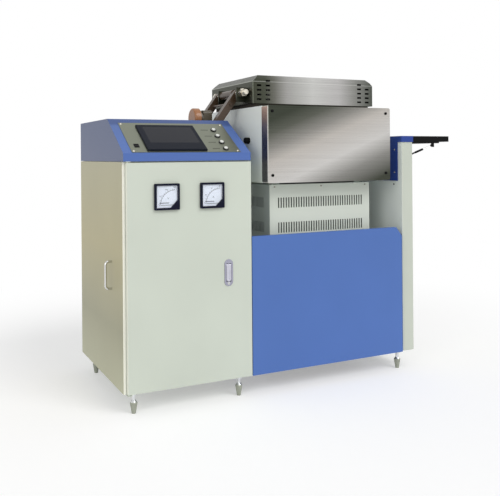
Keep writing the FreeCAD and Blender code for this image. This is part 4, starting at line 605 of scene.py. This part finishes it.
# %% Run a tree on points
def run_tree(name, tree, values, material, body, points=((0, 0, 0),), facings=None):
    """Run a tree on points and keep the outcome as a plain mesh piece on a body."""
    seed = bpy.data.meshes.new(name + "_points")
    seed.from_pydata([tuple(point) for point in points], [], [])
    if facings:
        attribute = seed.attributes.new("facing", "FLOAT_VECTOR", "POINT")
        for index, facing in enumerate(facings):
            attribute.data[index].vector = facing
    carrier = add_object(name + "_points", seed)
    modifier = carrier.modifiers.new("shape", "NODES")
    modifier.node_group = tree
    for item in tree.interface.items_tree:
        if item.in_out == "INPUT" and item.name in values:
            modifier[item.identifier] = values[item.name]
        if item.in_out == "INPUT" and item.name == "Material":
            modifier[item.identifier] = material
    mesh = plain_mesh(carrier)
    bpy.data.meshes.remove(seed)
    mesh.name = name
    print(name, "faces", len(mesh.polygons))
    return keep_piece(name, mesh, body)


# %% [markdown]
# ## Screws
#
# The sheets are held by pan-head screws with a cross recess. Each head is a short cone with two
# bars cut out of it. The tree sets one on every point and turns it to face the way that the
# point's stored direction says. The exact solver keeps the head closed where the two bars cross.

# %% The screw tree
crown_share, recess_share = 0.72, 0.26


def screw_tree():
    tree, entry, leave = start_tree("pan_head_screws", [
        ("Head Radius", 0.004), ("Head Height", 0.002), ("Recess Width", 0.001)])
    radius = entry.outputs["Head Radius"]
    height = entry.outputs["Head Height"]
    crown = math_node(tree, "ShaderNodeMath", "MULTIPLY", radius, crown_share)
    head = put(tree, "GeometryNodeMeshCone", Vertices=20, Depth=height, Radius_Top=crown.outputs[0],
               Radius_Bottom=radius)
    body = head.outputs["Mesh"]
    for long_side, short_side in (("X", "Y"), ("Y", "X")):
        size = put(tree, "ShaderNodeCombineXYZ", Z=height,
                   **{long_side: radius, short_side: entry.outputs["Recess Width"]})
        bar = put(tree, "GeometryNodeMeshCube", Size=size.outputs["Vector"])
        lift = put(tree, "ShaderNodeCombineXYZ", Z=height)
        cutter = put(tree, "GeometryNodeTransform", Geometry=bar.outputs["Mesh"],
                     Translation=lift.outputs["Vector"])
        cut = put(tree, "GeometryNodeMeshBoolean", [("operation", "DIFFERENCE"), ("solver", "EXACT")],
                  Mesh_1=body, Mesh_2=cutter.outputs["Geometry"])
        body = cut.outputs["Mesh"]
    turn = put(tree, "FunctionNodeAlignRotationToVector", [("axis", "Z")], Vector=stored_facing(tree))
    copies = put(tree, "GeometryNodeInstanceOnPoints", Points=entry.outputs["Geometry"], Instance=body,
                 Rotation=turn.outputs["Rotation"])
    finish_tree(tree, entry, leave, copies.outputs["Instances"])
    return tree


screws = screw_tree()
sheet_screw_radius, sheet_screw_height = 0.0045, 0.0022


def screw_set(name, places, facing, material=plain_steel, radius=sheet_screw_radius,
              height=sheet_screw_height):
    """Screws on the machine's fixed sheets, all facing one way."""
    values = {"Head Radius": radius, "Head Height": height, "Recess Width": radius * recess_share}
    return run_tree(name, screws, values, material, "machine", places, [facing] * len(places))


print("nodes in the screw tree:", len(screws.nodes))

# %% [markdown]
# ## Screws on the console plate
#
# The plate lies on the console's slope, so its screws face along the slope's normal. The push
# buttons slide straight into the slope, and their joint already carries that direction. The
# plate's length and thickness follow from its upright box, by turning the box's depth and height
# back into the slope.

# %% Measure the console plate
outward = -Vector(joints["push_button_1_press"]["axis"]).normalized()
up_slope = Vector((0.0, outward.z, -outward.y))
plate_low, plate_high = (Vector(corner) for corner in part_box("console_plate"))
run = plate_high.y - plate_low.y
rise = plate_high.z - plate_low.z
spread = up_slope.y ** 2 - up_slope.z ** 2
plate_length = (run * up_slope.y - rise * up_slope.z) / spread
plate_depth = (rise * up_slope.y - run * up_slope.z) / spread
plate_width = plate_high.x - plate_low.x
plate_corner = Vector((plate_low.x, plate_low.y, plate_low.z + plate_depth * outward.z))
print("plate", round(plate_width, 3), round(plate_length, 3), "thick", round(plate_depth, 4))


def on_console(across, up, lift=0.0):
    """A point on the plate's face, from its lower left corner."""
    return plate_corner + Vector((across, 0, 0)) + up_slope * up + outward * lift


# %% Console plate screws
plate_screw_inset, plate_screw_radius, plate_screw_height = 0.011, 0.005, 0.0024
corners = [on_console(across, up) for across in (plate_screw_inset, plate_width - plate_screw_inset)
           for up in (plate_screw_inset, plate_length - plate_screw_inset)]
screw_set("console_screws", corners, tuple(outward), zinc_steel, plate_screw_radius, plate_screw_height)

# %% [markdown]
# ## Label lines
#
# A short printed line stands to the left of each push button. The four lines are thin blocks that
# lie on the slope, each placed from its own button's centre.

# %% Button label lines
label_ink = moulded_plastic("label_ink", linear(52, 55, 50), roughness=0.5, relief=0.0, gloss=0.1)
line_start, line_length = -0.064, 0.036
line_thickness, line_width = 0.0004, 0.0024
line_corners = ((0, 0), (1, 0), (1, 1), (0, 1))
line_faces = ((3, 2, 1, 0), (4, 5, 6, 7), (0, 1, 5, 4), (1, 2, 6, 5), (2, 3, 7, 6), (3, 0, 4, 7))
points, faces = [], []
for number in (1, 2, 3, 4):
    low, high = (Vector(corner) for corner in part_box("push_button_%d" % number))
    centre = (low + high) / 2 - plate_corner
    left, bottom = centre.x + line_start, centre.dot(up_slope)
    start = len(points)
    points.extend(on_console(left + side * line_length, bottom + rise_up * line_width, lift)
                  for lift in (0.0, line_thickness) for side, rise_up in line_corners)
    faces.extend([start + corner for corner in quad] for quad in line_faces)
mesh_piece("button_label_lines", points, faces, label_ink, "machine")
print("label lines:", len(points) // 8)

# %% [markdown]
# ## Meter scales
#
# A panel meter's dial is a white card with a scale bent round the needle's pivot, which sits in
# the lower right corner. The needle's joint gives that pivot, so ticks, arc and numbers are laid
# out round it. The ticks are one small bar, copied along an arc by a node tree.

# %% The tick tree
def tick_tree():
    tree, entry, leave = start_tree("dial_ticks", [
        ("Tick Length", 0.006), ("Tick Width", 0.0008), ("Tick Height", 0.0002)])
    size = put(tree, "ShaderNodeCombineXYZ", X=entry.outputs["Tick Length"],
               Y=entry.outputs["Tick Height"], Z=entry.outputs["Tick Width"])
    bar = put(tree, "GeometryNodeMeshCube", Size=size.outputs["Vector"])
    turn = put(tree, "FunctionNodeAlignRotationToVector", [("axis", "X"), ("pivot_axis", "Y")],
               Vector=stored_facing(tree))
    copies = put(tree, "GeometryNodeInstanceOnPoints", Points=entry.outputs["Geometry"],
                 Instance=bar.outputs["Mesh"], Rotation=turn.outputs["Rotation"])
    finish_tree(tree, entry, leave, copies.outputs["Instances"])
    return tree


ticks = tick_tree()
fine_tick = {"Tick Length": 0.004, "Tick Width": 0.0005, "Tick Height": 0.00015}
main_tick = {"Tick Length": 0.008, "Tick Width": 0.001, "Tick Height": 0.00015}
print("nodes in the tick tree:", len(ticks.nodes))

# %% Places along the scale
scale_radius = 0.066
scale_divisions, main_divisions = 50, 10
ink_depth = 0.0001
arc_inner, arc_outer = scale_radius - 0.0026, scale_radius - 0.0018


def scale_points(pivot, radius, count):
    """Points and outward directions along a quarter turn from level left to straight up."""
    places, directions = [], []
    for index in range(count + 1):
        angle = math.radians(180 - 90 * index / count)
        direction = Vector((math.cos(angle), 0, math.sin(angle)))
        places.append(pivot + direction * radius)
        directions.append(direction)
    return places, directions


def arc_band(pivot, inner, outer):
    """A thin closed band along the scale, between two radii and standing off to the front."""
    points, faces = [], []
    row = scale_divisions + 1
    for radius, lift in ((inner, 0.0), (outer, 0.0), (outer, ink_depth / 2), (inner, ink_depth / 2)):
        points.extend(scale_points(pivot + Vector((0, -lift, 0)), radius, scale_divisions)[0])
    for line in range(4):
        start, after = line * row, (line + 1) % 4 * row
        faces.extend([start + index, after + index, after + index + 1, start + index + 1]
                     for index in range(scale_divisions))
    faces.append([line * row for line in (3, 2, 1, 0)])
    faces.append([line * row + scale_divisions for line in range(4)])
    return points, faces


print("the scale has", scale_divisions, "steps at", scale_radius, "m from the pivot")

# %% [markdown]
# ## Lettering
#
# A font curve gives numbers with clean outlines. A small extrusion makes them solid, and merging
# the doubled points closes each letter before it is turned to face the front.

# %% Numbers for the dials
weld_distance = 0.000001


def number_mesh(name, words, size, place, material, body):
    """Thin lettering on a dial, welded closed and turned to face the front."""
    curve = bpy.data.curves.new(name, "FONT")
    curve.body = words
    curve.size = size
    curve.extrude = ink_depth / 2
    curve.align_x = "CENTER"
    curve.align_y = "CENTER"
    mesh = plain_mesh(add_object(name + "_curve", curve))
    form = bmesh.new()
    form.from_mesh(mesh)
    bmesh.ops.remove_doubles(form, verts=form.verts, dist=weld_distance)
    form.to_mesh(mesh)
    form.free()
    mesh.transform(Matrix.Translation(place) @ Matrix.Rotation(math.radians(90), 4, "X"))
    mesh.materials.clear()
    mesh.materials.append(material)
    return keep_piece(name, mesh, body)


# %% [markdown]
# ## Both meter faces
#
# The left meter reads volts and the right one amperes. Everything is counted from the needle's
# pivot, a little in front of the card, so the needle still has room to turn.

# %% Dial cards, scales and numbers
dial_card = moulded_plastic("white_dial_card", linear(228, 231, 243), roughness=0.6, relief=0.0)
dial_ink = moulded_plastic("dial_ink", linear(52, 56, 72), roughness=0.6, relief=0.0)
card_thickness, ink_gap = 0.00012, 0.0001
window_reach, hub_offset = 0.0475, 0.036
main_tick_offset, number_offset = 0.001, 0.0105
zero_shift = Vector((0.005, 0, 0.004))
number_size, unit_size = 0.0075, 0.012
unit_offset = Vector((-0.03, 0, 0.028))
line_left, line_right, line_low, line_high = 0.069, 0.026, 0.0075, 0.0105
dials = (("left", "V", ("0", "100", "200", "300")), ("right", "A", ("0", "20", "40", "60")))

for side, unit, numbers in dials:
    pivot = Vector(joints["meter_needle_%s_turn" % side]["pos_m"])
    centre = pivot + Vector((-hub_offset, 0, hub_offset))
    reach = Vector((window_reach, 0, window_reach))
    block_piece("dial_card_%s" % side, centre - reach - Vector((0, card_thickness, 0)), centre + reach,
                dial_card, "front_door")
    face = pivot + Vector((0, -card_thickness - ink_gap, 0))
    for label, size, radius, count in (
            ("ticks", fine_tick, scale_radius, scale_divisions),
            ("marks", main_tick, scale_radius + main_tick_offset, main_divisions)):
        run_tree("dial_%s_%s" % (label, side), ticks, size, dial_ink, "front_door",
                 *scale_points(face, radius, count))
    mesh_piece("dial_arc_%s" % side, *arc_band(face, arc_inner, arc_outer), dial_ink, "front_door")
    places = scale_points(face, scale_radius + number_offset, len(numbers) - 1)[0]
    for index, (place, word) in enumerate(zip(places, numbers)):
        shifted = place + zero_shift if index == 0 else place
        number_mesh("dial_number_%s_%d" % (side, index), word, number_size, shifted, dial_ink,
                    "front_door")
    number_mesh("dial_unit_%s" % side, unit, unit_size, face + unit_offset, dial_ink, "front_door")
    block_piece("dial_line_%s" % side, (face.x - line_left, face.y - ink_gap, face.z + line_low),
                (face.x - line_right, face.y, face.z + line_high), dial_ink, "front_door")
    print(side, "dial in", unit, "round", [round(value, 3) for value in pivot])

# %% [markdown]
# ## The threaded spindle
#
# The spindle that carries the hood is a threaded bar. A thread is a helix: one small three-sided
# profile swept along a spiral curve. Geometry Nodes have a spiral primitive, so pitch, radius and
# length are the tree's inputs. Where the nuts sit, they hide the thread.

# %% The thread tree
def thread_tree():
    tree, entry, leave = start_tree("screw_thread", [
        ("Thread Radius", 0.012), ("Thread Length", 0.1), ("Turns", 30.0), ("Ridge", 0.001)])
    radius = entry.outputs["Thread Radius"]
    helix = put(tree, "GeometryNodeCurveSpiral", Resolution=20, Rotations=entry.outputs["Turns"],
                Start_Radius=radius, End_Radius=radius, Height=entry.outputs["Thread Length"])
    profile = put(tree, "GeometryNodeCurvePrimitiveCircle", Resolution=3, Radius=entry.outputs["Ridge"])
    ridge = put(tree, "GeometryNodeCurveToMesh", Curve=helix.outputs["Curve"],
                Profile_Curve=profile.outputs["Curve"], Fill_Caps=True)
    finish_tree(tree, entry, leave, ridge.outputs["Mesh"])
    return tree


threads = thread_tree()
print("nodes in the thread tree:", len(threads.nodes))

# %% Thread on the spindle
thread_pitch, thread_ridge = 0.003, 0.0012
spindle_radius, end_margin = 0.0118, 0.002
spindle_low, spindle_high = (Vector(corner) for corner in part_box("lift_spindle"))
spindle_centre = (spindle_low + spindle_high) / 2
thread_length = spindle_high.y - spindle_low.y - 2 * end_margin
thread = run_tree("spindle_thread", threads, {
    "Thread Radius": spindle_radius, "Thread Length": thread_length,
    "Turns": thread_length / thread_pitch, "Ridge": thread_ridge}, zinc_steel, "hood")
thread_start = Matrix.Translation((spindle_centre.x, spindle_low.y + end_margin, spindle_centre.z))
thread.data.transform(thread_start @ Matrix.Rotation(math.radians(-90), 4, "X"))
print("thread runs", round(thread_length, 3), "m")

# %% [markdown]
# ## Screws on the sheet metal
#
# The pedestal's front flange, the navy cheek of the column and the column's side show small
# screws. Their places come from the boxes of the sheets that they hold.

# %% Pedestal and column screws
flange_drop, flange_inset = 0.011, 0.027
front_low, front_high = (Vector(corner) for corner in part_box("pedestal_front"))
flange_places = [(x, front_low.y, front_high.z - flange_drop)
                 for x in (front_low.x + flange_inset, (front_low.x + front_high.x) / 2,
                           front_high.x - flange_inset)]
screw_set("pedestal_screws", flange_places, (0, -1, 0))

cheek_thickness, cheek_setback, cheek_levels = 0.003, 0.05, (1.126, 1.008)
column_setback, column_level = 0.06, 0.946
column_low, column_high = (Vector(corner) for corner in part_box("right_column"))
frame_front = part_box("cabinet_frame")[0][1]
cheek_places = [(column_low.x - cheek_thickness, frame_front + cheek_setback, level)
                for level in cheek_levels]
screw_set("cheek_screws", cheek_places, (-1, 0, 0))
column_place = (column_low.x, frame_front + column_setback, column_level)
screw_set("column_screw", [column_place], (-1, 0, 0), black_paint)

# %% [markdown]
# The sheets at the back and on the right are screwed on at their corners too. A small helper takes
# the corners of a sheet's box, moves them inwards and adds more places between them.

# %% Screws on the back and the right side
sheet_inset = 0.022
shelf_zone = 0.09


def edge_places(low, high, rows):
    """Places down both edges of a rectangle, given by its two corners in the plane."""
    places = []
    for row in range(rows):
        height = low[1] + sheet_inset + (high[1] - low[1] - 2 * sheet_inset) * row / (rows - 1)
        places.extend([(low[0] + sheet_inset, height), (high[0] - sheet_inset, height)])
    return places


back_places = []
for name, rows in (("cabinet_back", 4), ("furnace_casing", 2), ("pedestal_sides", 3)):
    low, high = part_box(name)
    back_places.extend((x, high[1], z) for x, z in edge_places((low[0], low[2]), (high[0], high[2]), rows))
screw_set("back_screws", back_places, (0, 1, 0))
side_places = [(column_high.x, y, z) for y, z in edge_places(
    (column_low.y, column_low.z), (column_high.y, column_high.z - shelf_zone), 3)]
screw_set("column_side_screws", side_places, (1, 0, 0))

# %% [markdown]
# ## Painted shade behind the slots
#
# Behind the pedestal's slots a thin dark sheet is painted shade, which makes the slots look
# black. It is a thin block just behind the front sheet.

# %% Painted shade behind the slots
slot_shade_finish = fibre_board("slot_shade_sheet_board", linear(52, 54, 51), scale=900.0)
mat_inset, mat_drop, mat_height, mat_gap, mat_thickness = 0.034, 0.05, 0.195, 0.0006, 0.0008
mat_top, mat_front = front_high.z - mat_drop, front_high.y + mat_gap
block_piece("pedestal_slot_shade_sheet", (front_low.x + mat_inset, mat_front, mat_top - mat_height),
            (front_high.x - mat_inset, mat_front + mat_thickness, mat_top), slot_shade_finish, "machine")
print("mat at", round(mat_front, 4), "top", round(mat_top, 3))

# %% [markdown]
# ## Door lock
#
# The latch has a small key cylinder under its paddle: a disc with a bevelled rim and a dark slot.
# The disc is built ring by ring, so that its rim catches a thin line of light.

# %% Lock cylinder and key slot
lock_radius, lock_depth, lock_rise = 0.0055, 0.0014, 0.001
shoulder_share, crown_reach = 0.6, 0.85
slot_reach, slot_half_height, slot_proud, slot_sunk = 0.0006, 0.0034, 0.0001, 0.0005


def bevelled_disc(centre, radius, depth, sides=24):
    """A round disc that faces the front, with its rim bevelled; it stands proud of its centre."""
    points, faces = [], []
    for reach, forward in ((radius, 0.0), (radius, depth * shoulder_share), (radius * crown_reach, depth)):
        for index in range(sides):
            angle = 2 * math.pi * index / sides
            points.append((centre[0] + reach * math.cos(angle), centre[1] - forward,
                           centre[2] + reach * math.sin(angle)))
    for ring in (0, 1):
        for index in range(sides):
            after = (index + 1) % sides
            faces.append([ring * sides + index, ring * sides + after, (ring + 1) * sides + after,
                          (ring + 1) * sides + index])
    faces.append(list(range(2 * sides, 3 * sides)))
    faces.append(list(range(sides - 1, -1, -1)))
    return points, faces


latch_low, latch_high = (Vector(corner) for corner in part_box("latch_plate"))
paddle_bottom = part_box("latch_paddle")[0][2]
lock_x, lock_z = (latch_low.x + latch_high.x) / 2, (latch_low.z + paddle_bottom) / 2 + lock_rise
mesh_piece("latch_lock", *bevelled_disc((lock_x, latch_low.y, lock_z), lock_radius, lock_depth), chrome,
           "front_door")
lock_face = latch_low.y - lock_depth
block_piece("latch_key_slot", (lock_x - slot_reach, lock_face - slot_proud, lock_z - slot_half_height),
            (lock_x + slot_reach, lock_face + slot_sunk, lock_z + slot_half_height), switch_black,
            "front_door")
print("lock at", round(lock_x, 3), round(lock_z, 3))

# %% [markdown]
# ## Floor
#
# The machine stands on a plain white floor. For camera rays the floor is a little brighter than it
# lights its surroundings, and it fades into the white background with distance, so that no horizon
# shows while the soft shadow stays.

# %% White floor
floor_size = 12.0
floor_lift = 0.13
near_glow = 0.25
fade_start, fade_end = 1.3, 3.0


def seen_directly(tree):
    """The kinds of rays, and white where the camera or a reflection sees a surface."""
    rays = put(tree, "ShaderNodeLightPath")
    seen = math_node(tree, "ShaderNodeMath", "MAXIMUM", rays.outputs["Is Camera Ray"],
                     rays.outputs["Is Glossy Ray"])
    return rays, seen.outputs[0]


def floor_finish():
    """Matt white that turns into a plain white glow further out."""
    material, tree, shader, space = start_material("white_floor")
    seen = seen_directly(tree)[1]
    feed(tree, shader, Base_Color=ramp(tree, seen, [(0.0, 0.8), (1.0, 1.0)]), Roughness=1.0,
         Specular_IOR_Level=0.0, Emission_Strength=1.0,
         Emission_Color=ramp(tree, seen, [(0.0, 0.0), (1.0, floor_lift)]))
    distance = math_node(tree, "ShaderNodeVectorMath", "LENGTH", space)
    fade = mapped(tree, distance.outputs["Value"], fade_start, fade_end, near_glow, 1.0)
    fade.interpolation_type = "SMOOTHSTEP"
    glow = put(tree, "ShaderNodeEmission", Color=grey(1.0))
    glowing = math_node(tree, "ShaderNodeMath", "MULTIPLY", seen, fade.outputs["Result"])
    mix = put(tree, "ShaderNodeMixShader", Fac=glowing.outputs[0])
    join(tree, mix.inputs[1], shader.outputs["BSDF"])
    join(tree, mix.inputs[2], glow.outputs["Emission"])
    feed(tree, tree.nodes["Material Output"], Surface=mix.outputs["Shader"])
    return material


floor_mesh = bpy.data.meshes.new("floor")
floor_mesh.from_pydata([(-floor_size, -floor_size, 0), (floor_size, -floor_size, 0),
                        (floor_size, floor_size, 0), (-floor_size, floor_size, 0)], [], [[0, 1, 2, 3]])
floor = add_object("floor", floor_mesh)
floor.data.materials.append(floor_finish())
print("floor", 2 * floor_size, "m wide, fades from", fade_start, "to", fade_end, "m")

# %% [markdown]
# ## Sky and suns
#
# The sky is white to the camera and in the glass and steel, but lights the paint with only about
# half its strength, so that shadows keep some depth. Two wide suns from the front right and the
# left light the paint so that it renders close to the colour that was written.

# %% White sky
sky_light, sky_seen = 0.55, 1.0
world = bpy.data.worlds.new("studio")
bpy.context.scene.world = world
world.use_nodes = True
sky = world.node_tree
path, seen = seen_directly(sky)
any_seen = math_node(sky, "ShaderNodeMath", "MAXIMUM", seen, path.outputs["Is Transmission Ray"])
strength = mapped(sky, any_seen.outputs[0], 0.0, 1.0, sky_light, sky_seen)
feed(sky, sky.nodes["Background"], Color=grey(1.0), Strength=strength.outputs["Result"])
print("sky lights with", sky_light, "and shows as", sky_seen)

# %% Two wide suns
sun_width = 35


def wide_sun(name, azimuth, height, strength):
    """Soft light from a direction: degrees from the front towards the right, and above the floor."""
    sun = bpy.data.lights.new(name, "SUN")
    sun.energy = strength
    sun.angle = math.radians(sun_width)
    sun_object = add_object(name, sun)
    azimuth, height = math.radians(azimuth), math.radians(height)
    direction = Vector((math.sin(azimuth) * math.cos(height), -math.cos(azimuth) * math.cos(height),
                        math.sin(height)))
    sun_object.rotation_euler = direction.to_track_quat("Z", "Y").to_euler()
    print(name, "shines from", [round(value, 2) for value in direction])


wide_sun("front_sun", 25, 40, 1.2)
wide_sun("left_sun", -55, 15, 0.6)

# %% [markdown]
# ## The camera
#
# The picture's camera was worked out beforehand from the machine's own corners: it stands low and
# to the left, looks level, and its frame is shifted, which keeps uprights upright. Its place
# counts from the cabinet's front left corner on the floor.

# %% Camera
image_width, image_height = 500, 496
focal_pixels = 705.6
optical_x, optical_y = 244.4, 155.5
sensor = 36.0
azimuth, tilt, roll = (math.radians(angle) for angle in (26.11, 0.01, -0.45))
cabinet_corner = Vector((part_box("side_door")[0][0], frame_front, 0.0))
from_corner = Vector((-0.848, -2.910, 1.101))

camera_data = bpy.data.cameras.new("camera")
camera_data.sensor_width = sensor
camera_data.lens = focal_pixels / image_width * sensor
camera_data.shift_x = (image_width / 2 - optical_x) / image_width
camera_data.shift_y = (optical_y - image_height / 2) / image_width
camera = add_object("camera", camera_data)
forward = Vector((math.sin(azimuth) * math.cos(tilt), math.cos(azimuth) * math.cos(tilt), math.sin(tilt)))
level_right = Vector((math.cos(azimuth), -math.sin(azimuth), 0.0))
level_up = level_right.cross(forward)
right = level_right * math.cos(roll) + level_up * math.sin(roll)
upward = level_up * math.cos(roll) - level_right * math.sin(roll)
turned = Matrix((right, upward, -forward)).transposed().to_4x4()
camera.matrix_world = Matrix.Translation(cabinet_corner + from_corner) @ turned
bpy.context.scene.camera = camera
bpy.context.scene.view_settings.view_transform = "Standard"
print("lens", round(camera_data.lens, 2), "mm,", round(from_corner.length, 3), "m from the corner")
